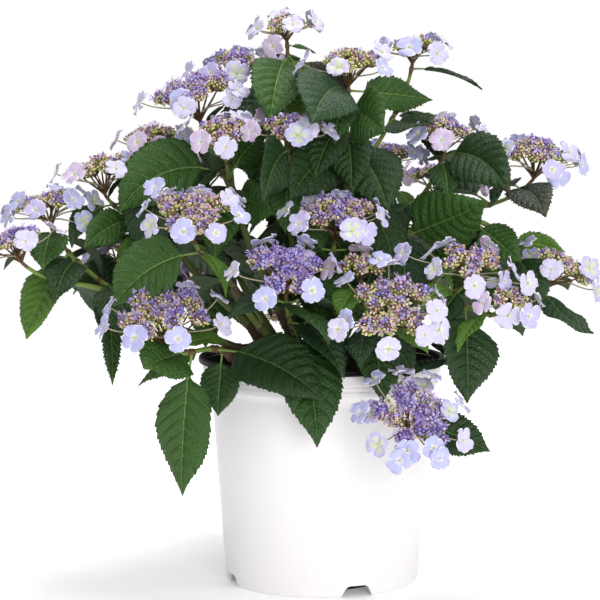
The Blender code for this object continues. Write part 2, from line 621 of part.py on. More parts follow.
def pot_profile():
    """The turned outline of the pot as (radius, height): the underside, the outside, then the inside."""
    collar_top = POT_HEIGHT - LIP_HEIGHT
    band_top = collar_top - COLLAR_HEIGHT
    band_foot = band_top - BAND_HEIGHT
    body_top = band_foot - SHOULDER_HEIGHT
    inner_top = LIP_RADIUS - LIP_WIDTH
    return [
        (0.0, 0.0),
        (SOLE_RADIUS, 0.0),
        (SOLE_RADIUS + GUTTER_SLOPE, GUTTER_HEIGHT),
        (BASE_RADIUS - FOOT_WIDTH, GUTTER_HEIGHT),
        (BASE_RADIUS - FOOT_WIDTH, 0.0),
        (BASE_RADIUS - 0.5 * BASE_ROUNDING, 0.0),
        (BASE_RADIUS, BASE_ROUNDING),
        (BODY_TOP_RADIUS, body_top),
        (BAND_RADIUS - BEVEL, band_foot - BEVEL),
        (BAND_RADIUS, band_foot),
        (BAND_RADIUS, band_top - BEVEL),
        (COLLAR_RADIUS, band_top),
        (COLLAR_RADIUS, collar_top),
        (LIP_RADIUS, collar_top + BEVEL),
        (LIP_RADIUS, POT_HEIGHT - BEVEL),
        (LIP_RADIUS - BEVEL, POT_HEIGHT),
        (inner_top, POT_HEIGHT),
        (BODY_TOP_RADIUS - WALL, body_top),
        (BASE_RADIUS - WALL, GUTTER_HEIGHT + FLOOR_THICKNESS),
        (SOLE_RADIUS + GUTTER_SLOPE - FLOOR_THICKNESS, GUTTER_HEIGHT + FLOOR_THICKNESS),
        (SOLE_RADIUS - FLOOR_THICKNESS, FLOOR_THICKNESS),
        (0.0, FLOOR_THICKNESS),
    ]


def soil_profile():
    """The potting mix fills the pot to a little under its lip, clear of the wall and the floor."""
    body_top = POT_HEIGHT - LIP_HEIGHT - COLLAR_HEIGHT - BAND_HEIGHT - SHOULDER_HEIGHT
    foot = GUTTER_HEIGHT + FLOOR_THICKNESS
    slope = (BODY_TOP_RADIUS - BASE_RADIUS) / (body_top - foot)
    side = 1.3 * CLEAR  # the facets of the two turned shapes stay this far apart
    inner, sole = BASE_RADIUS - WALL - side, SOLE_RADIUS - FLOOR_THICKNESS - side
    top = inner + slope * (body_top - foot)
    return [
        (0.0, FLOOR_THICKNESS + CLEAR),
        (sole, FLOOR_THICKNESS + CLEAR),
        (sole + GUTTER_SLOPE, foot + CLEAR),
        (inner, foot + CLEAR),
        (top, body_top),
        (top, SOIL_HEIGHT),
        (0.0, SOIL_HEIGHT),
    ]


def lathe_shape(profile, sides):
    """Turns a profile that starts and ends on the axis."""
    points, faces = [Vector((0, 0, profile[0][1]))], []
    rings = profile[1:-1]
    for radius, height in rings:
        for k in range(sides):
            turn = 2 * math.pi * k / sides
            points.append(Vector((radius * math.cos(turn), radius * math.sin(turn), height)))
    points.append(Vector((0, 0, profile[-1][1])))
    last = 1 + (len(rings) - 1) * sides
    for k in range(sides):
        after = (k + 1) % sides
        faces.append((0, 1 + after, 1 + k))
        faces.append((last + k, last + after, len(points) - 1))
        for ring in range(len(rings) - 1):
            low, high = 1 + ring * sides, 1 + (ring + 1) * sides
            faces.append((low + k, low + after, high + after, high + k))
    return points, faces


def notch_cutter(bearing):
    """A wedge-sided block that cuts one notch through the foot, out along its bearing."""
    spread = (NOTCH_FOOT - NOTCH_TOP) * PAST / NOTCH_HEIGHT
    outline = [(-0.5, -PAST), (0.5, -PAST), (0.5, NOTCH_HEIGHT), (-0.5, NOTCH_HEIGHT)]
    points = []
    for out in (BASE_RADIUS - FOOT_WIDTH - PAST, BASE_RADIUS + PAST):
        for half, height in outline:
            width = NOTCH_TOP if height > 0 else NOTCH_FOOT + spread
            points.append(Vector((out, half * width, height)))
    turn = Matrix.Rotation(math.radians(bearing), 4, "Z")
    faces = [(0, 1, 2, 3), (7, 6, 5, 4), (0, 4, 5, 1), (1, 5, 6, 2), (2, 6, 7, 3), (3, 7, 4, 0)]
    return add_object(f"notch_cutter_{round(bearing)}", mesh_of("notch", [turn @ p for p in points], faces))


def drain_cutter(bearing):
    """A short round bar that cuts one drain hole through the floor."""
    middle = heading(bearing) * DRAIN_FROM_AXIS
    path = [(middle + UP * (GUTTER_HEIGHT + rise), UP) for rise in (-PAST, FLOOR_THICKNESS + PAST)]
    shape = tube(path, (DRAIN_RADIUS, DRAIN_RADIUS), DRAIN_SIDES)
    return add_object(f"drain_cutter_{round(bearing)}", mesh_of("drain", *shape))


def cut(obj, cutters):
    for cutter in cutters:
        face_outwards(cutter.data)
        cutter.hide_render = True
        cutter.display_type = "WIRE"
        boolean = obj.modifiers.new(cutter.name, "BOOLEAN")
        boolean.operation, boolean.solver, boolean.object = "DIFFERENCE", "EXACT", cutter


def face_outwards(mesh):
    shape = bmesh.new()
    shape.from_mesh(mesh)
    bmesh.ops.recalc_face_normals(shape, faces=shape.faces)
    shape.to_mesh(mesh)
    shape.free()


def add_round(name, shape, material, sharp):
    """Adds a turned or tubular shape, smooth but for its edges."""
    mesh = mesh_of(name, *shape)
    face_outwards(mesh)
    mesh.shade_smooth()
    mesh.set_sharp_from_angle(angle=math.radians(sharp))
    return add_object(name, mesh, material)


def build_pot(material):
    pot = add_round("pot", lathe_shape(pot_profile(), POT_SIDES), material, POT_SHARP)
    bearings = [FIRST_NOTCH + 360 * k / NOTCHES for k in range(NOTCHES)]
    cut(pot, [notch_cutter(b) for b in bearings] + [drain_cutter(b) for b in bearings])


def main():
    clear_scene()
    white = add_material("white_pot", (0.86, 0.86, 0.88), 0.35)
    peat = add_material("potting_mix", (0.05, 0.03, 0.02), 0.95)
    bark = add_material("cane_bark", (0.22, 0.26, 0.08), 0.6)
    green = add_material("foliage", (0.05, 0.16, 0.04), 0.5)
    build_pot(white)
    add_round("potting_mix", lathe_shape(soil_profile(), POT_SIDES), peat, POT_SHARP)
    plant = grow_plant()
    for name, shape in plant.canes.items():
        add_round("cane_" + name, shape, bark, CANE_SHARP)
    for name, shapes in plant.shapes.items():
        fuse("foliage_" + name, shapes, green)


main()
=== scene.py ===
import math
import random
from collections import namedtuple

import bmesh
import bpy
import numpy as np
from mathutils import Matrix, Vector, noise
from mathutils.bvhtree import BVHTree


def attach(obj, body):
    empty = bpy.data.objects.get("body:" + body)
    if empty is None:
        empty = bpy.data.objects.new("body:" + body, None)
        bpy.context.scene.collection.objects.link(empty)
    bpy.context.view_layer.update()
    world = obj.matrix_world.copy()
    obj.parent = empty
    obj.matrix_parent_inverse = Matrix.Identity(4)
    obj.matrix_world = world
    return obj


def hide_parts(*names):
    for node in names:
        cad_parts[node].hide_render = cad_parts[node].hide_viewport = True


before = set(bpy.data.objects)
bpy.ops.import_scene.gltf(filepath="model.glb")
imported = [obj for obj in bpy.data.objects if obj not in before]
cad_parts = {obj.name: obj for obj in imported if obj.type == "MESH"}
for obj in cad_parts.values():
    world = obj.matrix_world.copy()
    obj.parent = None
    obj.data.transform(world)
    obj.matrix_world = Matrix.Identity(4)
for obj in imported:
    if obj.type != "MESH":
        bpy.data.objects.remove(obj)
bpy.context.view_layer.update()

seed = 7
clear = 0.0003  # gap between neighbours
up = Vector((0.0, 0.0, 1.0))
print("frame loaded:", len(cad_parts), "nodes")


# Where each cane stands: bearing and distance of its foot, and the fork at its top.
canes = {
    "left_low": (185, 0.042, (-0.180, -0.030, 0.262)),
    "left_front": (212, 0.044, (-0.082, -0.070, 0.216)),
    "left_mid": (155, 0.038, (-0.132, 0.010, 0.305)),
    "upper_left": (140, 0.022, (-0.078, 0.000, 0.345)),
    "centre_left": (236, 0.034, (-0.075, -0.060, 0.270)),
    "centre_front": (262, 0.040, (-0.022, -0.055, 0.225)),
    "top": (95, 0.012, (-0.030, 0.015, 0.330)),
    "centre": (290, 0.016, (0.004, -0.035, 0.270)),
    "top_right": (40, 0.022, (0.022, 0.020, 0.330)),
    "right_up": (5, 0.030, (0.068, 0.005, 0.305)),
    "right_droop": (352, 0.044, (0.130, -0.030, 0.325)),
    "right_front": (328, 0.042, (0.092, -0.062, 0.258)),
    "front_right": (290, 0.036, (0.036, -0.070, 0.235)),
    "front_low": (308, 0.046, (0.050, -0.082, 0.222)),
    "back_left": (135, 0.040, (-0.080, 0.075, 0.280)),
    "back": (92, 0.040, (0.000, 0.080, 0.290)),
    "back_right": (48, 0.042, (0.075, 0.070, 0.280)),
}

# Flower heads: cane, middle of the disc, its radius, the bearing faced, the tip over, sterile florets,
# where the first one stands, the bearing of the first pair of leaves, and the mood of the small flowers
# (share violet, share pink, share open; the rest is green).
heads = {
    "crest": ("top", (-0.034, 0.020, 0.5125), 0.020, 200, 8, 6, 290, 110, (0.06, 0.36, 0.05)),
    "above_left": ("upper_left", (-0.085, 0.040, 0.476), 0.028, 250, 12, 7, 355, 175, (0.32, 0.45, 0.15)),
    "left_tier": ("upper_left", (-0.117, -0.005, 0.449), 0.038, 235, 20, 5, 305, 30, (0.42, 0.36, 0.25)),
    "left_tuck": ("upper_left", (-0.088, -0.075, 0.418), 0.024, 262, 22, 6, 290, 115, (0.28, 0.45, 0.10)),
    "middle_high": ("top", (-0.029, -0.060, 0.422), 0.028, 268, 12, 5, 275, 125, (0.26, 0.50, 0.15)),
    "left_wing": ("left_mid", (-0.157, 0.030, 0.409), 0.025, 200, 6, 5, 185, 10, (0.06, 0.38, 0.05)),
    "left_shelf": ("left_mid", (-0.204, 0.000, 0.379), 0.032, 190, 10, 6, 75, 30, (0.18, 0.40, 0.10)),
    "left_end": ("left_low", (-0.255, 0.000, 0.347), 0.030, 190, 14, 6, 105, 160, (0.20, 0.40, 0.10)),
    "left_tip": ("left_low", (-0.277, -0.060, 0.318), 0.028, 200, 20, 5, 160, 10, (0.35, 0.42, 0.15)),
    "left_hidden": ("left_mid", (-0.199, 0.085, 0.300), 0.018, 150, 15, 4, 0, 20, (0.10, 0.30, 0.00)),
    "front_left": ("centre_left", (-0.115, -0.125, 0.348), 0.036, 262, 22, 8, 355, 120, (0.18, 0.54, 0.15)),
    "front_middle": ("centre_front", (-0.033, -0.145, 0.300), 0.036, 268, 28, 6, 125, 15, (0.80, 0.12, 0.35)),
    "middle": ("centre", (0.011, -0.090, 0.344), 0.034, 272, 16, 7, 335, 15, (0.34, 0.48, 0.15)),
    "front_full": ("front_right", (0.060, -0.150, 0.268), 0.038, 280, 44, 6, 325, 130, (0.28, 0.44, 0.15)),
    "front_tuck": ("front_right", (0.033, -0.112, 0.302), 0.020, 270, 25, 3, 215, 65, (0.10, 0.52, 0.05)),
    "top_tier": ("top_right", (0.025, -0.025, 0.477), 0.029, 300, 8, 5, 295, 35, (0.10, 0.34, 0.05)),
    "top_end": ("top_right", (0.083, 0.030, 0.493), 0.022, 200, 6, 5, 200, 130, (0.18, 0.28, 0.10)),
    "right_tier": ("right_up", (0.115, 0.000, 0.415), 0.026, 290, 14, 6, 70, 80, (0.35, 0.40, 0.15)),
    "right_shelf": ("right_up", (0.198, -0.020, 0.394), 0.032, 320, 16, 7, 20, 60, (0.30, 0.28, 0.10)),
    "right_hidden": ("back_right", (0.066, 0.080, 0.392), 0.022, 60, 8, 4, 165, 140, (0.35, 0.40, 0.10)),
    "right_end": ("right_droop", (0.216, -0.050, 0.295), 0.028, 345, 30, 5, 110, 45, (0.16, 0.28, 0.05)),
    "right_rim": ("right_front", (0.128, -0.110, 0.303), 0.028, 290, 22, 7, 95, 100, (0.22, 0.50, 0.05)),
    "right_tuck": ("right_front", (0.162, -0.130, 0.274), 0.018, 300, 30, 4, 5, 35, (0.12, 0.60, 0.05)),
    "low_front": ("front_low", (0.076, -0.172, 0.177), 0.036, 282, 50, 9, 295, 145, (0.50, 0.32, 0.35)),
    "low_left": ("left_front", (-0.139, -0.130, 0.258), 0.044, 255, 20, 8, 30, 40, (0.30, 0.44, 0.25)),
    "back_left_high": ("back_left", (-0.115, 0.130, 0.375), 0.032, 130, 16, 7, 0, 105, (0.40, 0.35, 0.15)),
    "back_left_low": ("back_left", (-0.130, 0.195, 0.265), 0.034, 125, 30, 7, 0, 50, (0.60, 0.25, 0.30)),
    "back_high": ("back", (-0.015, 0.135, 0.420), 0.032, 95, 12, 7, 0, 105, (0.30, 0.40, 0.10)),
    "back_middle": ("back", (0.030, 0.200, 0.330), 0.036, 85, 24, 7, 0, 150, (0.60, 0.25, 0.30)),
    "back_low": ("back", (-0.035, 0.225, 0.235), 0.034, 95, 40, 7, 0, 145, (0.45, 0.35, 0.20)),
    "back_right_high": ("back_right", (0.120, 0.130, 0.365), 0.032, 50, 18, 7, 0, 55, (0.40, 0.40, 0.15)),
    "back_right_low": ("back_right", (0.150, 0.175, 0.270), 0.034, 50, 32, 7, 0, 120, (0.50, 0.30, 0.25)),
}

# Leaves that shape the crown: shoot, distance below its hub, tip, bend, roll, width share.
ownLeaves = (
    ("low_left", 0.030, (-0.125, -0.115, 0.099), 15, 0, 0.46),
    ("low_left", 0.025, (-0.153, -0.190, 0.223), 10, -40, 0.59),
    ("low_left", 0.058, (0.000, -0.165, 0.192), 35, 35, 0.50),
    ("low_left", 0.065, (-0.094, -0.088, 0.166), 5, -15, 0.60),
    ("front_middle", 0.074, (-0.005, -0.150, 0.148), 60, 0, 0.44),
    ("front_middle", 0.070, (0.012, -0.130, 0.178), 60, 0, 0.40),
    ("front_tuck", 0.050, (0.052, -0.135, 0.185), 60, 0, 0.50),
    ("front_full", 0.050, (0.090, -0.125, 0.210), 25, 30, 0.46),
    ("right_tuck", 0.048, (0.126, -0.143, 0.186), 50, -30, 0.60),
    ("right_end", 0.013, (0.237, -0.126, 0.246), -40, -5, 0.34),
    ("left_end", 0.030, (-0.270, -0.046, 0.231), 20, 0, 0.65),
    ("left_tip", 0.094, (-0.198, -0.063, 0.237), 50, -10, 0.52),
    ("left_end", 0.090, (-0.214, 0.068, 0.306), -45, -10, 0.57),
    ("left_shelf", 0.038, (-0.216, -0.050, 0.314), 40, -70, 0.43),
    ("front_left", 0.019, (-0.185, -0.100, 0.266), 55, -65, 0.61),
    ("left_tier", 0.053, (-0.185, -0.032, 0.344), 85, -75, 0.54),
    ("low_front", 0.020, (0.147, -0.130, 0.141), 15, 62, 0.50),
    ("right_tier", 0.091, (0.145, -0.079, 0.357), -5, 115, 0.53),
    ("right_tier", 0.007, (0.165, -0.090, 0.366), 65, 55, 0.43),
    ("right_shelf", 0.025, (0.196, -0.105, 0.346), 60, 20, 0.40),
    ("top_end", 0.005, (0.150, 0.030, 0.456), 40, 0, 0.34),
    ("top_tier", 0.004, (0.104, 0.033, 0.446), 5, 70, 0.34),
    ("top_end", 0.055, (0.098, -0.052, 0.427), -15, 20, 0.57),
    ("top_tier", 0.026, (0.054, -0.099, 0.420), 30, 75, 0.59),
    ("top_tier", 0.007, (-0.010, -0.119, 0.429), 65, -35, 0.57),
    ("top_tier", 0.021, (-0.017, -0.008, 0.481), 60, -60, 0.45),
    ("top_tier", 0.016, (-0.034, -0.029, 0.434), 50, -85, 0.48),
    ("top_tier", 0.059, (0.059, -0.071, 0.348), 55, 25, 0.56),
    ("top_tier", 0.067, (-0.029, -0.088, 0.360), 50, -60, 0.49),
    ("top_tier", 0.033, (-0.007, -0.061, 0.376), 55, -35, 0.44),
    ("middle_high", 0.004, (-0.052, -0.121, 0.360), 70, -75, 0.55),
    ("left_tuck", 0.052, (-0.050, 0.015, 0.414), 50, 75, 0.50),
    ("left_tuck", 0.077, (-0.044, -0.080, 0.347), 10, 90, 0.50),
    ("crest", 0.016, (-0.047, -0.063, 0.427), 60, -25, 0.47),
    ("right_end", 0.096, (0.177, -0.080, 0.304), 5, 50, 0.51),
    ("right_end", 0.060, (0.223, -0.026, 0.308), 30, 90, 0.35),
    ("left_wing", 0.036, (-0.158, -0.049, 0.300), 85, 0, 0.51),
    ("left_end", 0.004, (-0.252, -0.063, 0.295), 50, -5, 0.51),
    ("left_tip", 0.088, (-0.187, -0.080, 0.200), 20, 0, 0.20),
    ("right_rim", 0.004, (0.096, -0.120, 0.250), 5, -35, 0.59),
    ("low_left", 0.053, (-0.165, -0.092, 0.194), 35, -55, 0.22),
    ("crest", 0.004, (-0.005, 0.028, 0.489), 35, 30, 0.23),
)

# Open places in the crown, as seen by the viewer: x and z at the pot's middle, and radius.
viewer = Vector((-0.02, -2.20, 0.49))
sightTube = {"reach": 0.28, "sides": 8}
openings = (
    (-0.083, 0.375, 0.010), (-0.055, 0.328, 0.005), (-0.047, 0.237, 0.009), (-0.083, 0.230, 0.008),
    (0.058, 0.418, 0.012), (0.076, 0.371, 0.009), (0.062, 0.354, 0.004), (0.111, 0.236, 0.012),
    (0.162, 0.342, 0.009), (0.192, 0.332, 0.010), (0.110, 0.459, 0.004),
    (0.084, 0.462, 0.010), (-0.284, 0.276, 0.012), (-0.241, 0.233, 0.007), (-0.219, 0.297, 0.004),
)

potSize = {
    "height": 0.210, "sides": 36, "wall": 0.0022,
    "lip": (0.1145, 0.0055, 0.0050),  # radius, height, width
    "collar": (0.1105, 0.0100), "band": (0.1080, 0.0100),  # radius, height
    "bodyTop": 0.1025, "shoulder": 0.0060,
    "base": 0.0895, "rounding": 0.0030, "bevel": 0.0012, "foot": 0.0037,
    "floor": 0.0025, "sole": 0.0580, "gutter": 0.0115, "gutterSlope": 0.0030,
    "soil": 0.1820,
}
stemRule = {
    "cane": (0.0042, 0.0030), "caneFlare": 1.45, "caneSides": 6, "caneRings": 6,
    "fork": 0.016, "forkStep": 0.0025,
    "shoot": (0.0026, 0.0016), "shootSides": 3, "shootRings": 6, "hubDepth": 0.62,
}
headRule = {
    "rim": 10, "top": 5, "dome": 0.30,
    "floret": 0.0125, "points": 4, "thickness": 0.0014, "pedicel": 0.0011, "root": 0.45,
}
leafRule = {
    "petiole": 0.0013, "petioleShare": 0.16, "length": 0.108, "width": 0.48, "thickness": 0.0016, "fold": 3.5,
    "stations": ((0.45, 1.0), (0.76, 0.72)),
    "guard": (0.0034, 1.02), "firstPair": 0.012, "pairStep": 0.034, "budLeaf": 0.60,
    "skirt": (0.200, 0.35),
    "tries": ((0, 0, 1.00), (14, 0, 1.00), (-14, 0, 1.00), (0, -18, 1.00), (28, -8, 0.96), (-28, -8, 0.96),
              (0, 18, 0.92), (20, -30, 0.88), (-20, -30, 0.88), (44, 0, 0.84), (-44, 0, 0.84),
              (0, -48, 0.80)),
}
Leaf = namedtuple("Leaf", "root bearing rise bend roll length width")


def draws(use):
    return random.Random(f"{seed} {use}")


def ringPoint(radius, turn, height=0.0):
    return Vector((radius * math.cos(turn), radius * math.sin(turn), height))


def heading(bearing, rise=0.0):
    turn, lift = math.radians(bearing), math.radians(rise)
    return Vector((math.cos(turn) * math.cos(lift), math.sin(turn) * math.cos(lift), math.sin(lift)))


def bezier(start, startDir, end, endDir, count):
    handle = 0.36 * (end - start).length
    a, b, c, d = start, start + startDir * handle, end - endDir * handle, end
    path = []
    for step in range(count):
        t = step / (count - 1)
        u = 1.0 - t
        point = a * u**3 + b * (3 * u * u * t) + c * (3 * u * t * t) + d * t**3
        along = (b - a) * (u * u) + (c - b) * (2 * u * t) + (d - c) * (t * t)
        path.append((point, along.normalized()))
    return path


def firstSide(along):
    side = along.cross(up)
    return side if side.length >= 1e-3 else along.cross(Vector((0.0, 1.0, 0.0)))


def planeAxes(normal, over=up):
    side = normal.cross(over)
    side = side.normalized() if side.length > 1e-3 else Vector((1.0, 0.0, 0.0))
    return side, normal.cross(side)


def tube(path, radii, sides):
    points, faces = [], []
    side = firstSide(path[0][1])
    for (point, along), radius in zip(path, radii):
        side = (side - along * side.dot(along)).normalized()
        other = along.cross(side)
        for k in range(sides):
            turn = 2 * math.pi * k / sides
            points.append(point + (side * math.cos(turn) + other * math.sin(turn)) * radius)
    for ring in range(len(path) - 1):
        low, high = ring * sides, (ring + 1) * sides
        faces += [(low + k, low + (k + 1) % sides, high + (k + 1) % sides, high + k) for k in range(sides)]
    faces.append(tuple(reversed(range(sides))))
    faces.append(tuple(range((len(path) - 1) * sides, len(path) * sides)))
    return points, faces


def latheShape(profile, sides):
    points, faces = [Vector((0, 0, profile[0][1]))], []
    rings = profile[1:-1]
    for radius, height in rings:
        points += [ringPoint(radius, 2 * math.pi * k / sides, height) for k in range(sides)]
    points.append(Vector((0, 0, profile[-1][1])))
    last = 1 + (len(rings) - 1) * sides
    for k in range(sides):
        after = (k + 1) % sides
        faces += [(0, 1 + after, 1 + k), (last + k, last + after, len(points) - 1)]
        for ring in range(len(rings) - 1):
            low, high = 1 + ring * sides, 1 + (ring + 1) * sides
            faces.append((low + k, low + after, high + after, high + k))
    return points, faces


def potHeights():
    # the feet of the lip, the collar, the band and the shoulder
    collarTop = potSize["height"] - potSize["lip"][1]
    bandTop = collarTop - potSize["collar"][1]
    bandFoot = bandTop - potSize["band"][1]
    return collarTop, bandTop, bandFoot, bandFoot - potSize["shoulder"]


def potOutline():
    s = potSize
    (lipR, _, lipW), (collarR, _), (bandR, _) = s["lip"], s["collar"], s["band"]
    collarTop, bandTop, bandFoot, bodyTop = potHeights()
    return [
        (0.0, 0.0), (s["sole"], 0.0), (s["sole"] + s["gutterSlope"], s["gutter"]),
        (s["base"] - s["foot"], s["gutter"]), (s["base"] - s["foot"], 0.0),
        (s["base"] - 0.5 * s["rounding"], 0.0), (s["base"], s["rounding"]), (s["bodyTop"], bodyTop),
        (bandR - s["bevel"], bandFoot - s["bevel"]), (bandR, bandFoot), (bandR, bandTop - s["bevel"]),
        (collarR, bandTop), (collarR, collarTop), (lipR, collarTop + s["bevel"]),
        (lipR, s["height"] - s["bevel"]), (lipR - s["bevel"], s["height"]), (lipR - lipW, s["height"]),
        (s["bodyTop"] - s["wall"], bodyTop), (s["base"] - s["wall"], s["gutter"] + s["floor"]),
        (s["sole"] + s["gutterSlope"] - s["floor"], s["gutter"] + s["floor"]),
        (s["sole"] - s["floor"], s["floor"]), (0.0, s["floor"]),
    ]


def soilOutline():
    s = potSize
    *_, bodyTop = potHeights()
    foot = s["gutter"] + s["floor"]
    slope = (s["bodyTop"] - s["base"]) / (bodyTop - foot)
    side = 1.3 * clear
    inner, sole = s["base"] - s["wall"] - side, s["sole"] - s["floor"] - side
    top = inner + slope * (bodyTop - foot)
    return [
        (0.0, s["floor"] + clear), (sole, s["floor"] + clear), (sole + s["gutterSlope"], foot + clear),
        (inner, foot + clear), (top, bodyTop), (top, s["soil"]), (0.0, s["soil"]),
    ]


def leafTo(root, tip, bend, roll, width):
    chord = tip - root
    half = math.radians(bend) / 2
    bearing = math.degrees(math.atan2(chord.y, chord.x))
    rise = math.degrees(math.asin(chord.z / chord.length)) + bend / 2
    return Leaf(root, bearing, rise, bend, roll, chord.length * half / math.sin(half), width)


def leafFrames(leaf, shares):
    level = heading(leaf.bearing - 90)
    roll = math.radians(leaf.roll)
    frames, point, done = [], leaf.root.copy(), 0.0
    for share in shares:
        steps = max(1, round((share - done) * 24))
        for step in range(steps):
            mid = done + (share - done) * (step + 0.5) / steps
            stepLength = leaf.length * (share - done) / steps
            point = point + heading(leaf.bearing, leaf.rise - leaf.bend * mid) * stepLength
        done = share
        over = level.cross(heading(leaf.bearing, leaf.rise - leaf.bend * share))
        side = level * math.cos(roll) - over * math.sin(roll)
        frames.append((point.copy(), side, over * math.cos(roll) + level * math.sin(roll)))
    return frames


def leafShape(leaf, thickness=leafRule["thickness"], widen=1.0, bare=0.0):
    stations, petiole = leafRule["stations"], leafRule["petiole"]
    shares = [bare, *(share for share, _ in stations), 1.0]
    halfWidth = 0.5 * leaf.length * leaf.width * widen
    lift = math.tan(math.radians(leafRule["fold"]))
    frames = leafFrames(leaf, shares)
    points = []
    for ring, (point, side, over) in enumerate(frames[:-1]):
        half = halfWidth * stations[ring - 1][1] if ring else petiole
        raised = half * lift if ring else petiole
        keel = thickness if ring else petiole
        lifted = over * raised
        points += [point + side * half + lifted, point - over * keel, point - side * half + lifted]
    tip = len(points)
    points.append(frames[-1][0])
    faces = [(2, 1, 0)]
    for low in range(0, tip - 3, 3):
        faces += [(low + k, low + (k + 1) % 3, low + 3 + (k + 1) % 3, low + 3 + k) for k in range(3)]
    faces += [(tip - 3 + k, tip - 3 + (k + 1) % 3, tip) for k in range(3)]
    return points, faces


def headFrame(centre, faces, tips):
    normal = heading(faces, 90 - tips)
    across = heading(faces + 90)
    return Matrix.Translation(centre) @ Matrix((across, normal.cross(across), normal)).transposed().to_4x4()


def discShape(place, radius, rng):
    rim, inner, dome = headRule["rim"], headRule["top"], headRule["dome"]
    points, faces = [], []
    for k in range(rim):
        out = radius * rng.uniform(0.84, 1.06)
        points.append(ringPoint(out, 2 * math.pi * k / rim, radius * rng.uniform(-0.06, 0.06)))
    for k in range(inner):
        high = radius * dome * rng.uniform(0.8, 1.1)
        points.append(ringPoint(0.55 * radius, 2 * math.pi * (k + 0.25) / inner, high))
    points += [Vector((0, 0, radius * dome * 1.1)), Vector((0, 0, -0.16 * radius))]
    top, under, per = rim + inner, rim + inner + 1, rim // inner
    for k in range(inner):
        here, after = rim + k, rim + (k + 1) % inner
        faces += [(per * k + j, (per * k + j + 1) % rim, here) for j in range(per)]
        faces += [(here, (per * k + per) % rim, after), (here, after, top)]
    faces += [((k + 1) % rim, k, under) for k in range(rim)]
    return [place @ p for p in points], faces


def floretShape(centre, normal, root, radius, turn):
    side, other = planeAxes(normal)

    def around(count, k):
        angle = turn + 2 * math.pi * k / count
        return side * math.cos(angle) + other * math.sin(angle)

    sides = headRule["points"]
    points = [centre + around(sides, k) * radius + normal * (0.14 * radius) for k in range(sides)]
    points += [centre + around(3, k) * headRule["pedicel"] - normal * headRule["thickness"] for k in range(3)]
    top, end = len(points), len(points) + 1
    points += [centre, root]
    faces = [(k, (k + 1) % sides, top) for k in range(sides)]
    faces += [(1, 0, 4), (2, 1, 5), (3, 2, 6), (0, 3, 6), (1, 4, 5), (2, 5, 6), (0, 6, 4)]
    faces += [(4 + (k + 1) % 3, 4 + k, end) for k in range(3)]
    return points, faces


def floretPlaces(place, radius, count, first, rng):
    for k in range(count):
        turn = math.radians(first) + 2 * math.pi * (k + rng.uniform(-0.22, 0.22)) / count
        out = ringPoint(1.0, turn)
        size = headRule["floret"] * rng.uniform(0.90, 1.12)
        away = radius + size * rng.uniform(0.55, 0.95)
        centre = place @ (out * away + Vector((0, 0, radius * rng.uniform(-0.02, 0.22))))
        lean = rng.uniform(10, 50)
        normal = Vector((0, 0, math.cos(math.radians(lean)))) + out * math.sin(math.radians(lean))
        normal = (place.to_3x3() @ normal).normalized()
        root = place @ (out * (headRule["root"] * radius) + Vector((0, 0, 0.02 * radius)))
        yield centre, normal, root, size, rng.uniform(0, math.pi)


class Plant:
    # what has grown so far, and the space that each piece takes
    def __init__(self):
        self.caneTips, self.shoots, self.leaves, self.florets, self.guards = {}, {}, [], [], []

    def box(self, points):
        return [[pick(p[i] for p in points) for i in range(3)] for pick in (min, max)]

    def guard(self, cane, kind, points, faces):
        self.guards.append((cane, kind, *self.box(points), BVHTree.FromPolygons(points, faces)))

    def isFree(self, points, faces, skip=lambda cane, kind: False):
        tree = BVHTree.FromPolygons(points, faces)
        low, high = self.box(points)
        for cane, kind, otherLow, otherHigh, other in self.guards:
            if skip(cane, kind):
                continue
            if any(low[i] > otherHigh[i] or high[i] < otherLow[i] for i in range(3)):
                continue
            if tree.overlap(other):
                return False
        return True


def tapered(first, last, count):
    return [first + (last - first) * k / (count - 1) for k in range(count)]


def canePath(name, rings):
    bearing, distance, fork = canes[name]
    fork = Vector(fork)
    foot = heading(bearing) * distance + up * (potSize["soil"] + clear)
    lean = (fork - foot).normalized()
    path = bezier(foot, (up * 1.4 + lean).normalized(), fork, (lean * 1.2 + up * 0.3).normalized(), rings)
    path[0] = (foot, up)
    return path


def growCane(plant, name):
    path = canePath(name, stemRule["caneRings"])
    radii = tapered(*stemRule["cane"], stemRule["caneRings"])
    radii[0] *= stemRule["caneFlare"]
    plant.guard(name, "cane", *tube(path, radii, stemRule["caneSides"]))
    point, along = path[-1]
    start = point + along * clear
    stub = [(start, along), (start + along * stemRule["fork"], along)]
    plant.guard(name, "fork", *tube(stub, (stemRule["cane"][1], stemRule["shoot"][0]), stemRule["caneSides"]))
    plant.caneTips[name] = (start, along)


def shootPath(plant, head, order, rings):
    cane, centre, radius, facesTo, tips = heads[head][:5]
    place = headFrame(Vector(centre), facesTo, tips)
    normal = place.to_3x3() @ up
    hub = Vector(centre) - normal * (stemRule["hubDepth"] * radius)
    forkStart, forkAlong = plant.caneTips[cane]
    start = forkStart + forkAlong * (stemRule["fork"] - 0.004 - stemRule["forkStep"] * order)
    lean = (hub - start).normalized()
    return bezier(start, (forkAlong + lean).normalized(), hub, (normal + lean).normalized(), rings), place


def growShoot(plant, head):
    cane, radius = heads[head][0], heads[head][2]
    order = sum(heads[other][0] == cane for other in plant.shoots)
    path, place = shootPath(plant, head, order, stemRule["shootRings"])
    radii = tapered(*stemRule["shoot"], stemRule["shootRings"])
    end = (place @ (up * 0.04 * radius), place.to_3x3() @ up)
    shape = tube([*path, end], [*radii, stemRule["shoot"][1]], stemRule["shootSides"])
    plant.guard(cane, "shoot:" + head, *shape)
    plant.shoots[head] = (path, place, order)


def pointBelow(path, below):
    left = below
    for (high, _), (low, _) in zip(path[::-1], path[-2::-1]):
        step = (high - low).length
        if left <= step:
            return high.lerp(low, left / step)
        left -= step
    return None


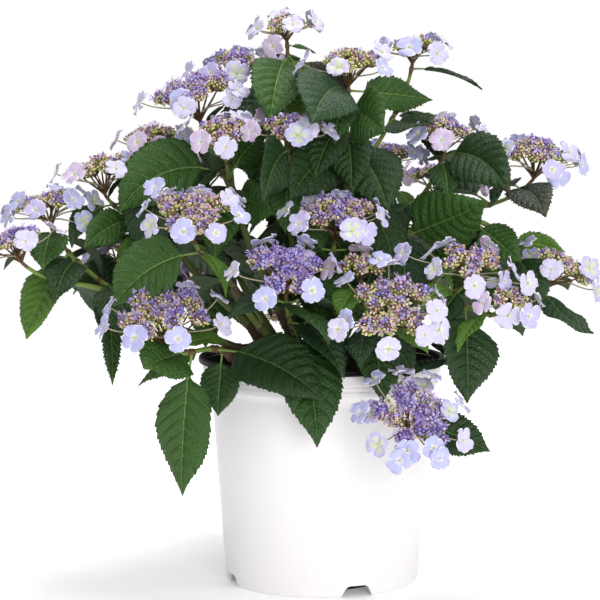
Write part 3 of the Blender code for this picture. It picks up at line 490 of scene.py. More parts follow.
def hangsLow(leaf):
    tip, _, _ = leafFrames(leaf, [1.0])[0]
    out = math.hypot(tip.x, tip.y) - potSize["lip"][0]
    height, rise = leafRule["skirt"]
    return tip.z < height + rise * max(0.0, out)


def growLeaf(plant, head, leaf, mayHang):
    cane = heads[head][0]
    for turn, lift, scale in leafRule["tries"]:
        tried = leaf._replace(bearing=leaf.bearing + turn, rise=leaf.rise + lift, length=leaf.length * scale)
        if not mayHang and hangsLow(tried):
            continue
        if not plant.isFree(*leafShape(tried, *leafRule["guard"], leafRule["petioleShare"])):
            continue
        if plant.isFree(*leafShape(tried), lambda other, kind: other == cane and kind != "cane"):
            plant.leaves.append((head, tried))
            plant.guard(cane, "leaf:" + head, *leafShape(tried, bare=0.08))
            return


def ruleLeaves(head, path):
    first = heads[head][7]
    rng = draws(f"leaves {head} {first}")
    length = sum((high - low).length for (low, _), (high, _) in zip(path, path[1:]))
    below, order = leafRule["firstPair"] + rng.uniform(0.0, 0.008), 0
    while below < length - 0.004:
        size = leafRule["length"] * min(1.0, leafRule["budLeaf"] + 0.22 * order) * rng.uniform(0.88, 1.10)
        for side in (0, 180):
            bearing = first + 90 * order + side + rng.uniform(-14, 14)
            rise, bend, roll = rng.uniform(-12, 25), rng.uniform(50, 90), rng.uniform(-25, 25)
            sizeHere = size * rng.uniform(0.93, 1.05)
            yield Leaf(pointBelow(path, below), bearing, rise, bend, roll, sizeHere, leafRule["width"])
        below += leafRule["pairStep"] * rng.uniform(0.85, 1.15)
        order += 1


def keepOpen(plant, x, z, radius):
    middle = Vector((x, 0.0, z))
    sight = (middle - viewer).normalized()
    ends = [(middle + sight * reach, sight) for reach in (-sightTube["reach"], sightTube["reach"])]
    plant.guard("open", "open", *tube(ends, (radius, radius), sightTube["sides"]))


def growPlant():
    plant = Plant()
    plant.guard("pot", "pot", *latheShape(potOutline(), potSize["sides"]))
    plant.guard("pot", "potting_mix", *latheShape(soilOutline(), potSize["sides"]))
    for name in canes:
        growCane(plant, name)
    for head in heads:
        growShoot(plant, head)
    for head, (_, place, _) in plant.shoots.items():
        shape = discShape(place, heads[head][2], draws(f"disc {head}"))
        plant.guard(heads[head][0], "disc:" + head, *shape)
    for head, (_, place, _) in plant.shoots.items():
        cane, _, radius, _, _, count, first, _, _ = heads[head]
        for spot in floretPlaces(place, radius, count, first, draws(f"florets {head}")):
            shape = floretShape(*spot)
            if plant.isFree(*shape, lambda other, kind: other == cane and kind.endswith(":" + head)):
                plant.guard(cane, "floret:" + head, *shape)
                plant.florets.append((head, spot))
    for head, below, tip, bend, roll, width in ownLeaves:
        root = pointBelow(plant.shoots[head][0], below)
        growLeaf(plant, head, leafTo(root, Vector(tip), bend, roll, width), True)
    for opening in openings:
        keepOpen(plant, *opening)
    for head, (path, _, _) in plant.shoots.items():
        for leaf in ruleLeaves(head, path):
            growLeaf(plant, head, leaf, False)
    return plant


plant = growPlant()
print("plant grown:", len(plant.leaves), "leaves,", len(plant.florets), "florets")


def placed(name, data):
    made = bpy.data.objects.new(name, data)
    bpy.context.scene.collection.objects.link(made)
    return made


class Heap:
    # gathers many small shapes into one mesh, each face with its own material slot
    def __init__(self):
        self.points, self.count = [], 0
        self.quads, self.trios, self.quadSlots, self.trioSlots = [], [], [], []

    def add(self, points, quads=None, quadSlots=0, trios=None, trioSlots=0):
        points = np.asarray(points, float).reshape(-1, 3)
        for faces, slots, keep, keepSlots, size in (
            (quads, quadSlots, self.quads, self.quadSlots, 4),
            (trios, trioSlots, self.trios, self.trioSlots, 3),
        ):
            if faces is not None and len(faces):
                faces = np.asarray(faces, int).reshape(-1, size)
                keep.append(faces + self.count)
                keepSlots.append(np.broadcast_to(np.asarray(slots, int), len(faces)))
        self.points.append(points)
        self.count += len(points)

    def piece(self, name, materials, slotName, replaced=()):
        quads = np.concatenate(self.quads or [np.zeros((0, 4), int)])
        trios = np.concatenate(self.trios or [np.zeros((0, 3), int)])
        points = np.concatenate(self.points).astype(np.float32)
        mesh = bpy.data.meshes.new(name)
        mesh.vertices.add(len(points))
        mesh.vertices.foreach_set("co", points.ravel())
        corners = np.concatenate([quads.ravel(), trios.ravel()]).astype(np.int32)
        mesh.loops.add(len(corners))
        mesh.loops.foreach_set("vertex_index", corners)
        starts = np.concatenate([np.arange(len(quads)) * 4, 4 * len(quads) + np.arange(len(trios)) * 3])
        mesh.polygons.add(len(starts))
        mesh.polygons.foreach_set("loop_start", starts.astype(np.int32))
        for material in materials:
            mesh.materials.append(material)
        slots = np.concatenate([*self.quadSlots, *self.trioSlots]).astype(np.int32)
        mesh.polygons.foreach_set("material_index", slots)
        mesh.update(calc_edges=True)
        mesh.validate()
        mesh.shade_smooth()
        made = placed(name, mesh)
        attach(made, "root")
        if replaced:
            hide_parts(*replaced)
        print(f"{name}: {2 * len(quads) + len(trios)} triangles")
        return made


def finish(name, colour, roughness, bump=None, cells=None, sheen=0.0, specular=0.5):
    # bump is a grain (scale, distance, detail), cells a net of fine veins (scale, distance)
    material = bpy.data.materials.new(name)
    material.use_nodes = True
    nodes, links = material.node_tree.nodes, material.node_tree.links
    shader = nodes["Principled BSDF"]
    for setting, value in (("Base Color", (*colour, 1.0)), ("Roughness", roughness),
                           ("Sheen Weight", sheen), ("Specular IOR Level", specular)):
        shader.inputs[setting].default_value = value
    where, normal = nodes.new("ShaderNodeTexCoord").outputs["Object"], None
    for kind, values in (("Noise", bump), ("Voronoi", cells)):
        if not values:
            continue
        texture, relief = nodes.new("ShaderNodeTex" + kind), nodes.new("ShaderNodeBump")
        links.new(where, texture.inputs["Vector"])
        texture.inputs["Scale"].default_value, relief.inputs["Distance"].default_value = values[:2]
        if kind == "Noise":
            texture.inputs["Detail"].default_value = values[2]
            height = texture.outputs["Fac"]
        else:
            texture.feature = "DISTANCE_TO_EDGE"
            root = nodes.new("ShaderNodeMath")
            root.operation = "POWER"
            root.inputs[1].default_value = 0.5
            links.new(texture.outputs["Distance"], root.inputs[0])
            height = root.outputs["Value"]
        links.new(height, relief.inputs["Height"])
        if normal:
            links.new(normal, relief.inputs["Normal"])
        normal = relief.outputs["Normal"]
    if normal:
        links.new(normal, shader.inputs["Normal"])
    return material


def palette(prefix, colours, roughness, **more):
    return [finish(prefix + name[0].upper() + name[1:], colour, roughness, **more)
            for name, colour in colours.items()]


def gridQuads(grid, order=(0, 1, 2, 3)):
    # the faces of a grid of point numbers; order is the corners' turn, and (0, 3, 2, 1) faces the other way
    corners = (grid[:-1, :-1], grid[:-1, 1:], grid[1:, 1:], grid[1:, :-1])
    return np.stack([corners[k] for k in order], -1).reshape(-1, 4)


def ringGrid(rings, sides, closed=False):
    # point numbers of rings, each with its first again at the end, and the first ring too when closed
    return np.pad(np.arange(rings * sides).reshape(rings, sides), ((0, int(closed)), (0, 1)), "wrap")


def limb(heap, path, radii, sides, slot=0, slots=None):
    # a round limb along (point, direction), with a cap at its end
    points, side = [], firstSide(path[0][1])
    angles = np.arange(sides) * (2 * math.pi / sides)
    for (point, along), radius in zip(path, radii):
        side = (side - along * side.dot(along)).normalized()
        other = along.cross(side)
        ring = np.outer(np.cos(angles), side) + np.outer(np.sin(angles), other)
        points.append(np.array(point) + ring * radius)
    rings = len(path)
    quads = gridQuads(ringGrid(rings, sides))
    quadSlots = slot if slots is None else np.repeat(slots[:rings - 1], sides)
    end = (rings - 1) * sides
    trios = [(end, end + k, end + k + 1) for k in range(1, sides - 1)]
    heap.add(np.concatenate(points), quads, quadSlots, trios, slot if slots is None else slots[-1])


# Leaves: rows follow the side veins, so the quilting and the toothed edge are in the mesh.
bladeLook = {
    "veins": 8, "fullLength": 0.09,
    "outline": ((0.0, 0.05), (0.04, 0.30), (0.09, 0.56), (0.16, 0.79), (0.25, 0.94), (0.345, 1.0),
                (0.46, 0.985), (0.58, 0.885), (0.70, 0.70), (0.80, 0.47), (0.88, 0.26), (0.94, 0.12),
                (1.0, 0.015)),  # place along the blade, share of the width
    "sweep": (0.27, 0.38),  # how far a side vein runs forward, and the lowest one's share of it
    "cell": ((0.032, 0.9), (0.14, -0.35), (0.40, 0.55), (0.56, -0.35), (0.78, 0.3), (0.968, 0.9)),
    "columns": (-1.0, -0.93, -0.70, -0.47, -0.24),
    "midrib": (0.00075, 0.00022), "ribDip": 0.0003,
    "quilt": 0.0026, "pucker": 0.00020, "wave": 0.0022,
    "tooth": 0.0016, "toothLean": 0.010,
    "fold": (2, 12), "droop": (0.0, 0.14),
    "thickness": 0.0007, "rib": 0.0013,
    "browned": (0.1, 0.7), "brownedTip": (0.90, 0.97),  # where a scorched margin and tip begin
}
bladeSlot, veinSlot, ribSlot, underSlot, scorchSlot = range(5)


def addBlade(heap, leaf, rng, scorched):
    # one blade, with its underside; a scorched one has a brown margin and tip
    look = bladeLook
    cells = look["veins"] + 1
    phase, tooth = np.array([(cell + share, out) for cell in range(cells) for share, out in look["cell"]]).T
    q, frac = phase / cells, phase % 1.0
    start = leafRule["petioleShare"]
    shares = np.linspace(start, 1.0, 40)
    frames = leafFrames(leaf, [0.5 * start, *shares])[1:]
    spine, sides, overs = (np.array([f[i] for f in frames]) for i in range(3))
    halfWidth = 0.5 * leaf.length * leaf.width
    size = min(1.0, leaf.length / look["fullLength"])
    outT, outW = np.array(look["outline"]).T
    forward, lowest = look["sweep"]
    sweep = forward * (1 - q) ** 0.6 * (lowest + (1 - lowest) * np.minimum(1.0, q / 0.25))
    # columns from one margin to the other, with the midrib's narrow pair in the middle
    widthAt = np.interp(q, outT, outW) * halfWidth
    midrib = look["midrib"][0] + (look["midrib"][1] - look["midrib"][0]) * q
    m = np.minimum(0.2, midrib / np.maximum(widthAt, 1e-6))
    left = [np.full_like(q, c) for c in look["columns"]]
    v = np.stack([*left, -m, 0 * m, m, *(-c for c in left[::-1])], 1)
    rows, columns = v.shape
    middle = columns // 2
    away = np.abs(v)
    edge = np.where(away > 0.99, 1.0, np.where(away > 0.9, 0.45, 0.0))
    t = q[:, None] + sweep[:, None] * (0.8 * away + 0.2 * away**2)
    t = np.minimum(t + edge * (tooth * look["toothLean"])[:, None], 1.0)
    width = np.interp(t, outT, outW) * halfWidth
    toothed = edge * (tooth * look["tooth"] * size)[:, None] * np.clip(5 * (1 - t), 0, 1)
    across = v * width + np.sign(v) * toothed
    random2 = np.random.RandomState(rng.randrange(10**6))
    waves = np.sin(t * rng.uniform(6, 12) + rng.uniform(0, 6.28) + rng.uniform(1, 3) * np.sign(v)) * away**2
    bulge = np.sin(math.pi * frac)[:, None] ** 0.8 * np.sin(math.pi * np.minimum(away, 1.0) ** 0.8) ** 0.7
    puckers = random2.uniform(-1, 1, v.shape) * (bulge > 0.05) * look["pucker"]
    narrow = np.minimum(1, width / (0.4 * halfWidth))
    high = np.abs(across) * math.tan(math.radians(rng.uniform(*look["fold"])))
    high += waves * look["wave"] * size * narrow - rng.uniform(*look["droop"]) * halfWidth * away**3
    high += (bulge * look["quilt"] + puckers) * size * narrow
    high[:, middle] -= look["ribDip"]
    index = t * (len(shares) - 1)
    low = np.clip(index.astype(int), 0, len(shares) - 2)
    mix = (index - low)[..., None]
    place, side, over = (a[low] * (1 - mix) + a[low + 1] * mix for a in (spine, sides, overs))
    top = place + side * across[..., None] + over * high[..., None]
    number = np.arange(rows * columns).reshape(rows, columns)
    slots = np.full((rows - 1, columns - 1), bladeSlot)
    slots[len(look["cell"]) - 1::len(look["cell"]), 1:-1] = veinSlot  # the strip over each side vein
    slots[:, middle - 1:middle + 1] = ribSlot
    if scorched:
        slots[int(rows * rng.uniform(*look["browned"])):, [0, -1]] = scorchSlot
        slots[int(rows * rng.uniform(*look["brownedTip"])):, :] = scorchSlot
    # the underside shares the margins, and its rib stands out
    picked = [0, 3, middle, columns - 4, columns - 1]
    deep = np.array([0, look["thickness"], look["rib"], look["thickness"], 0.0])
    fade = np.minimum(1, width[:, [middle]] / (0.3 * halfWidth))
    under = top[:, picked] - over[:, picked] * (deep * fade)[..., None]
    lower = rows * columns + np.arange(rows * 3).reshape(rows, 3)
    grid = np.concatenate([number[:, :1], lower, number[:, -1:]], 1)
    underQuads = gridQuads(grid, (1, 0, 3, 2))
    points = np.concatenate([top.reshape(-1, 3), under[:, 1:4].reshape(-1, 3)])
    heap.add(points, np.concatenate([gridQuads(number), underQuads]),
             np.concatenate([slots.ravel(), np.full(len(underQuads), underSlot)]))


# Blade, side veins, midrib and share of the draws for each tint.
leafTints = {
    "deep": ((0.0105, 0.037, 0.0062), (0.036, 0.080, 0.018), (0.085, 0.145, 0.032), 4),
    "green": ((0.0185, 0.058, 0.0085), (0.050, 0.108, 0.024), (0.105, 0.180, 0.040), 4),
    "mid": ((0.0330, 0.092, 0.0130), (0.074, 0.152, 0.032), (0.140, 0.225, 0.054), 3),
    "blue": ((0.0175, 0.050, 0.0160), (0.048, 0.098, 0.034), (0.098, 0.160, 0.056), 2),
    "young": ((0.0700, 0.165, 0.0150), (0.120, 0.235, 0.034), (0.190, 0.290, 0.060), 0),
    "bronze": ((0.0280, 0.038, 0.0240), (0.070, 0.074, 0.046), (0.110, 0.110, 0.060), 0),
}
underside = finish("leafUnderside", (0.055, 0.088, 0.042), 0.65, specular=0.2)
scorch = finish("leafScorch", (0.066, 0.036, 0.020), 0.6, specular=0.2)
foliageNodes = ["foliage_" + name for name in canes]
ownTints = {  # rows of ownLeaves with a set tint; a leaf lying in the crown's shade has the deep tint as painted shade
    "deep": (2, 8, 28, 29, 30, 39), "green": (3, 4, 6, 38), "blue": (9, 24, 36),
    "mid": (0, 1, 12, 13, 14, 15, 17, 21, 23, 31, 32, 33, 34, 37, 40),
    "young": (10, 26, 35), "bronze": (19, 25),
}
tintRule = {
    "scorchedRows": (7, 18, 19), "scorched": 0.12,  # rows of ownLeaves, and the chance for the others
    "young": 0.05, "small": 0.062,  # chance, and the length under which the rule's leaves are young
}
rng = draws("tints")
tintDraws = [name for name, tint in leafTints.items() for _ in range(tint[3])]
heaps = {name: Heap() for name in leafTints}
for number, (head, leaf) in enumerate(plant.leaves):
    ofRule = number >= len(ownLeaves)
    tint = rng.choice(tintDraws)
    if rng.random() < tintRule["young"] or (leaf.length < tintRule["small"] and ofRule):
        tint = "young"
    tint = next((name for name, rows in ownTints.items() if number in rows), tint)
    scorched = rng.random() < tintRule["scorched"]
    addBlade(heaps[tint], leaf, rng, number in tintRule["scorchedRows"] or (scorched and ofRule))
for name, heap in heaps.items():
    blade, vein, rib, _ = leafTints[name]
    heap.piece("leaves_" + name, [
        finish(name + "Blade", blade, 0.44, bump=(300, 0.0010, 2), cells=(330, 0.0009), specular=0.34),
        finish(name + "Vein", vein, 0.5, specular=0.25), finish(name + "Rib", rib, 0.5, specular=0.25),
        underside, scorch], "foliage", foliageNodes)


# Stems: canes, shoots, their swollen nodes and the leaf stalks.
stemLook = {
    "caneSides": 10, "caneRings": 44, "shootSides": 8, "shootRings": 70, "stalkSides": 6,
    "flare": (0.45, 0.7),  # how much thicker a cane's foot is, and how fast that fades
    "oldShare": 0.4, "endRings": 6,  # the part of a cane in old bark, and a shoot's red rings
    "node": 0.5, "nodeLength": 0.0024,  # how far a joint swells, and how far along
    "stalk": (0.0019, 0.0016, 0.0013, 0.0012, 0.0011, 0.0011, 0.0010, 0.0008),
    "stalkScale": (0.55, 0.45),  # of a leaf stalk's radii: the least, and what a full leaf adds
}
oldBark, youngBark, shootSkin, jointRed, stalkSkin = range(5)
stemFinishes = [finish(*values, specular=0.3) for values in (
    ("barkOld", (0.090, 0.060, 0.030), 0.7, (700, 0.0008, 4)),
    ("barkYoung", (0.115, 0.150, 0.035), 0.55, (600, 0.0005, 3)),
    ("shootGreen", (0.150, 0.225, 0.045), 0.5, (500, 0.0003, 2)),
    ("nodeRed", (0.105, 0.062, 0.030), 0.55),
    ("stalkGreen", (0.160, 0.255, 0.055), 0.5),
)]


def swollen(path, radii, slots, joints, red):
    # thickens a stem where leaf stalks join it, and colours the joint
    for k, (point, _) in enumerate(path):
        near = min(((point - joint).length for joint in joints), default=1.0)
        radii[k] *= 1 + stemLook["node"] * math.exp(-((near / stemLook["nodeLength"]) ** 2))
        if near < stemLook["nodeLength"]:
            slots[k] = red


stems = Heap()
rings, (flare, fade) = stemLook["caneRings"], stemLook["flare"]
for name in canes:
    path = canePath(name, rings)
    radii = [r * (1 + flare * math.exp(-k * fade)) for k, r in enumerate(tapered(*stemRule["cane"], rings))]
    slots = [oldBark if k < rings * stemLook["oldShare"] else youngBark for k in range(rings + 1)]
    swollen(path, radii, slots, [path[k][0] for k in (rings // 3, rings * 2 // 3, rings - 1)], oldBark)
    forkStart, along = plant.caneTips[name]
    path.append((forkStart + along * stemRule["fork"], along))
    radii.append(stemRule["shoot"][0])
    limb(stems, path, radii, stemLook["caneSides"], slots=slots)
rings, ends = stemLook["shootRings"], stemLook["endRings"]
for head in heads:
    path, _ = shootPath(plant, head, plant.shoots[head][2], rings)
    radii, slots = tapered(*stemRule["shoot"], rings), [shootSkin] * (rings - ends) + [jointRed] * ends
    swollen(path, radii, slots, [leaf.root for other, leaf in plant.leaves if other == head], jointRed)
    limb(stems, path, radii, stemLook["shootSides"], slots=slots)
last, (least, more) = len(stemLook["stalk"]) - 1, stemLook["stalkScale"]
for _, leaf in plant.leaves:
    shares = [1e-4, *np.linspace(0.02, leafRule["petioleShare"] + 0.03, last)]
    points = [point for point, _, _ in leafFrames(leaf, shares)]
    path = [(point, (points[min(k + 1, last)] - points[max(k - 1, 0)]).normalized())
            for k, point in enumerate(points)]
    size = min(1.0, leaf.length / bladeLook["fullLength"])
    radii = [r * (least + more * size) for r in stemLook["stalk"]]
    limb(stems, path, radii, stemLook["stalkSides"], slots=[jointRed] + [stalkSkin] * last)
stems.piece("stems", stemFinishes, "cane_bark", ["cane_" + name for name in canes])


# Flower heads: rays, clusters of small flowers, and the ring of sterile florets.
clusterLook = {
    "spread": 0.82, "reach": 0.93, "sizes": (0.80, 1.12), "uneven": (-0.10, 0.08),
    "fewest": 5, "counts": (4, 8, 0.036),  # clusters: some, and more with the area, up to this radius
    "ray": (0.0012, 0.0007), "raySteps": 5, "raySides": 5, "stalk": 0.00028, "stalkEnds": (0.25, 0.97),
    "core": (0.76, 0.58, 0.14),  # a cluster's dark middle, painted shade among the buds over the stalks it hides: its width, its height, and how uneven it is
    "violetCore": 0.45,  # the share of violet from which that middle is violet too
    "bud": 0.00140, "budSizes": (0.62, 1.12), "spacing": 0.00325, "tilt": 0.25, "out": (0.78, 1.10),
    "moodSpread": 0.30, "moodScale": 2.2, "blur": 0.17, "openShare": 0.38, "openMore": 0.6, "star": 1.35,
}
starLook = {  # lengths are shares of the flower's radius; a petal's first value is half its angle
    "petals": 5, "petal": (0.50, 0.70, 0.10), "point": (1.30, -0.1, 0.35), "bead": (0.42, 0.06, 0.62),
    "filament": (0.3, 0.9, 0.11, 1.6), "tall": (1.5, 2.4), "sway": 0.3, "turns": (2.094, 1.257),
}
budColours = {
    "violet": (0.170, 0.125, 0.460), "blueViolet": (0.300, 0.250, 0.640), "purple": (0.250, 0.130, 0.360),
    "lilac": (0.540, 0.450, 0.760), "rose": (0.330, 0.165, 0.165), "pink": (0.640, 0.425, 0.400),
    "beige": (0.720, 0.600, 0.420), "tan": (0.460, 0.330, 0.230), "olive": (0.260, 0.280, 0.075),
    "lime": (0.500, 0.540, 0.180), "coreBrown": (0.170, 0.125, 0.075), "coreViolet": (0.150, 0.115, 0.260),
}
budMoods = (
    ("violet", "blueViolet", "purple", "lilac", "blueViolet"),
    ("pink", "beige", "tan", "pink", "rose", "beige", "lime"),
    ("olive", "lime", "lime", "lime", "beige"),
)
slotOf = {name: k for k, name in enumerate(budColours)}
golden = math.pi * (3 - math.sqrt(5))
ico = bmesh.new()
bmesh.ops.create_icosphere(ico, subdivisions=1, radius=1.0)
icoPoints = np.array([v.co[:] for v in ico.verts])
icoFaces = np.array([[v.index for v in f.verts] for f in ico.faces])
bmesh.ops.subdivide_edges(ico, edges=ico.edges, cuts=1, use_grid_fill=True)
bmesh.ops.triangulate(ico, faces=ico.faces)
corePoints = np.array([v.co.normalized()[:] for v in ico.verts])
coreFaces = np.array([[v.index for v in f.verts] for f in ico.faces])
ico.free()


def basis(normal, turn=0.0):
    side, other = planeAxes(normal)
    a = side * math.cos(turn) + other * math.sin(turn)
    return np.array([a, normal.cross(a), normal])


def addBud(heap, centre, normal, radius, slot, rng):
    shape = icoPoints * (radius, radius * rng.uniform(0.75, 1.0), radius * rng.uniform(1.0, 1.6))
    heap.add(shape @ basis(normal, rng.uniform(0, 6)) + np.array(centre), trios=icoFaces, trioSlots=slot)


def addStar(heap, centre, normal, radius, slots, rng, filaments):
    # an open small flower: five petals round a bead, some with pale filaments
    petal, bead = slots
    count, (half, out, low) = starLook["petals"], starLook["petal"]
    (reach, *lifts), (wide, beadFoot, beadTop) = starLook["point"], starLook["bead"]
    third, fifth = starLook["turns"]
    turn = rng.uniform(0, 6)
    points, trios, faces = [(0, 0, 0)], [], []
    for k in range(count):
        a = turn + k * 2 * math.pi / count
        for spread, away, z in ((-half, out, low), (0.0, reach, rng.uniform(*lifts)), (half, out, low)):
            points.append((away * math.cos(a + spread), away * math.sin(a + spread), z))
        trios += [(0, 3 * k + 1, 3 * k + 2), (0, 3 * k + 2, 3 * k + 3)]
        faces += [petal, petal]
    n = len(points)
    around = [turn + k * third for k in range(3)]
    points += [(wide * math.cos(a), wide * math.sin(a), beadFoot) for a in around]
    points.append((0, 0, beadTop))
    trios += [(n, n + 1, n + 3), (n + 1, n + 2, n + 3), (n + 2, n, n + 3)]
    faces += [bead] * 3
    root, end, flatness, broad = starLook["filament"]
    for k in range(count if filaments else 0):
        a = turn + k * fifth + rng.uniform(-starLook["sway"], starLook["sway"])
        tall = rng.uniform(*starLook["tall"])
        base, n = np.array([math.cos(a), math.sin(a), 0]) * root, len(points)
        tip = np.array([math.cos(a) * end, math.sin(a) * end, tall])
        flat = np.array([-math.sin(a), math.cos(a), 0]) * flatness
        points += [base - flat, base + flat, tip + flat * broad, tip - flat * broad]
        trios += [(n, n + 1, n + 2), (n, n + 2, n + 3)]
        faces += [slotOf["lilac"]] * 2
    shape = np.array([tuple(p) for p in points]) * radius
    heap.add(shape @ basis(normal) + np.array(centre), trios=trios, trioSlots=faces)


def addStalk(base, tip, normal, over, slot):
    # the thin three-sided stalk of a small flower
    flank = planeAxes(normal, over)[0] * clusterLook["stalk"]
    heel, crown = (base.lerp(tip, share) for share in clusterLook["stalkEnds"])
    third = normal.cross(flank)
    ring = [flank, third * 0.87 - flank * 0.5, third * -0.87 - flank * 0.5]
    points = [tuple(end + r) for end in (heel, crown) for r in ring]
    rays.add(points, [(0, 1, 4, 3), (1, 2, 5, 4), (2, 0, 3, 5)], slot)


def addHead(buds, head):
    look = clusterLook
    radius, (violet, pink, opened) = heads[head][2], heads[head][8]
    place = plant.shoots[head][1]
    turnTo = place.to_3x3()
    hub = Vector((0, 0, -stemRule["hubDepth"] * radius))
    rng = draws(f"buds {head}")
    least, more, full = look["counts"]
    count = max(look["fewest"], round(least + more * (radius / full) ** 2))
    reach = look["reach"] * radius / math.sqrt(count)
    for k in range(count):
        out = look["spread"] * radius * math.sqrt((k + 0.35) / count)
        turn = golden * k + rng.uniform(-0.2, 0.2)
        dome = headRule["dome"] * radius * (1 - (out / radius) ** 2) * 0.9
        middle = ringPoint(out, turn, dome + rng.uniform(*look["uneven"]) * radius)
        outward = (middle - hub * 1.3).normalized()
        shift = rng.uniform(-1, 1) * look["moodSpread"] + 0.15 * (0.5 - out / radius)
        mood = (max(0.0, violet * (1 + look["moodScale"] * shift)), max(0.0, pink - 0.5 * shift))
        start, end = place @ hub, place @ (middle - outward * reach * 0.5)
        leave = turnTo @ (Vector((middle.x, middle.y, 0)) * 0.6 + up * radius * 0.55).normalized()
        path = bezier(start, leave, end, turnTo @ outward, look["raySteps"])
        limb(rays, path, tapered(*look["ray"], look["raySteps"]), look["raySides"], slot=rayBrown)
        size = reach * rng.uniform(*look["sizes"])
        share = max(8, round(2 * math.pi * size**2 * 0.92 / look["spacing"] ** 2))
        side, other = planeAxes(outward)
        base = place @ middle
        # a dark core under the buds: painted shade among them, over the stalks it hides
        wide, tall, uneven = look["core"]
        dents = np.array([[rng.uniform(1 - uneven, 1)] for _ in corePoints])
        core = corePoints * (wide, wide, tall) * size * dents
        heart = np.array(place @ (middle - outward * size * 0.12))
        buds.add(core @ basis(turnTo @ outward) + heart, trios=coreFaces,
                 trioSlots=slotOf["coreViolet" if mood[0] > look["violetCore"] else "coreBrown"])
        for j in range(share):
            # dealt out from the cluster's middle to its edge: violet first, then pink, then green
            polar = math.acos(1 - 1.05 * (j + 0.5) / share)
            spin = golden * j + turn
            sideways = (side * math.cos(spin) + other * math.sin(spin)) * math.sin(polar)
            way = outward * math.cos(polar) + sideways
            flatter = Vector((way.x, way.y, way.z * 0.85))
            tip = place @ (middle + flatter * size * rng.uniform(*look["out"]))
            pick = (j + 0.5) / share + rng.uniform(-look["blur"], look["blur"])
            kind = 0 if pick < mood[0] else 1 if pick < mood[0] + mood[1] else 2
            colour = slotOf[rng.choice(budMoods[kind])]
            tilt = Vector([rng.uniform(-look["tilt"], look["tilt"]) for _ in range(3)])
            normal = turnTo @ (way + tilt).normalized()
            bud = look["bud"] * rng.uniform(*look["budSizes"])
            if kind < 2 and rng.random() < look["openShare"] + look["openMore"] * opened:
                slots = (colour, slotOf[rng.choice(budMoods[1 - kind])])
                addStar(buds, tip, normal, bud * look["star"], slots, rng, rng.random() < opened)
            else:
                addBud(buds, tip, normal, bud, colour, rng)
            if j % 2 == 0:
                addStalk(base, tip, normal, turnTo @ up, rayGreen if kind == 2 else rayBrown)


frontOf = -0.055  # heads and florets nearer than this go into the front pieces
rayBrown, rayGreen, pedicelTan = range(3)
buds, rays = {"front": Heap(), "back": Heap()}, Heap()
for head, (_, centre, *_) in heads.items():
    addHead(buds["front" if centre[1] < frontOf else "back"], head)

sepalLook = {
    "rows": (0.0, 0.10, 0.20, 0.33, 0.48, 0.63, 0.77, 0.88, 0.95, 1.0),
    "widths": (0.06, 0.16, 0.29, 0.43, 0.54, 0.580, 0.53, 0.39, 0.23, 0.04),
    "columns": (-1.0, -0.89, -0.45, 0.0, 0.45, 0.89, 1.0),
    "cup": 0.20, "roll": 0.12, "ruffle": 0.10, "arch": 0.10, "thickness": 0.03, "scale": 0.93,
    "counts": (4, 4, 4, 4, 5, 4, 4, 4, 3), "bodies": ("lavender", "lavender", "soft", "soft"),
    "long": (0.88, 1.08), "wide": (0.86, 1.08), "pointed": (0.72, 1.05),
    "greenish": 0.07, "limeEyed": 0.35,  # chances
}
sepalColours = {
    "eye": (0.520, 0.560, 0.270), "pale": (0.620, 0.620, 0.560), "glow": (0.560, 0.530, 0.710),
    "lavender": (0.465, 0.425, 0.665), "blue": (0.415, 0.425, 0.680), "pink": (0.560, 0.445, 0.610),
    "soft": (0.545, 0.510, 0.685), "rim": (0.790, 0.770, 0.880), "greenish": (0.520, 0.550, 0.420),
}
sepalSlot = {name: k for k, name in enumerate(sepalColours)}
headTints = {  # where the florets lean from pink, the usual tint, to another
    "front_middle": "blue", "low_front": "blue", "right_end": "blue", "right_shelf": "blue",
    "left_end": "blue", "low_left": "blue", "front_left": "blue", "left_tier": "soft", "above_left": "soft",
}


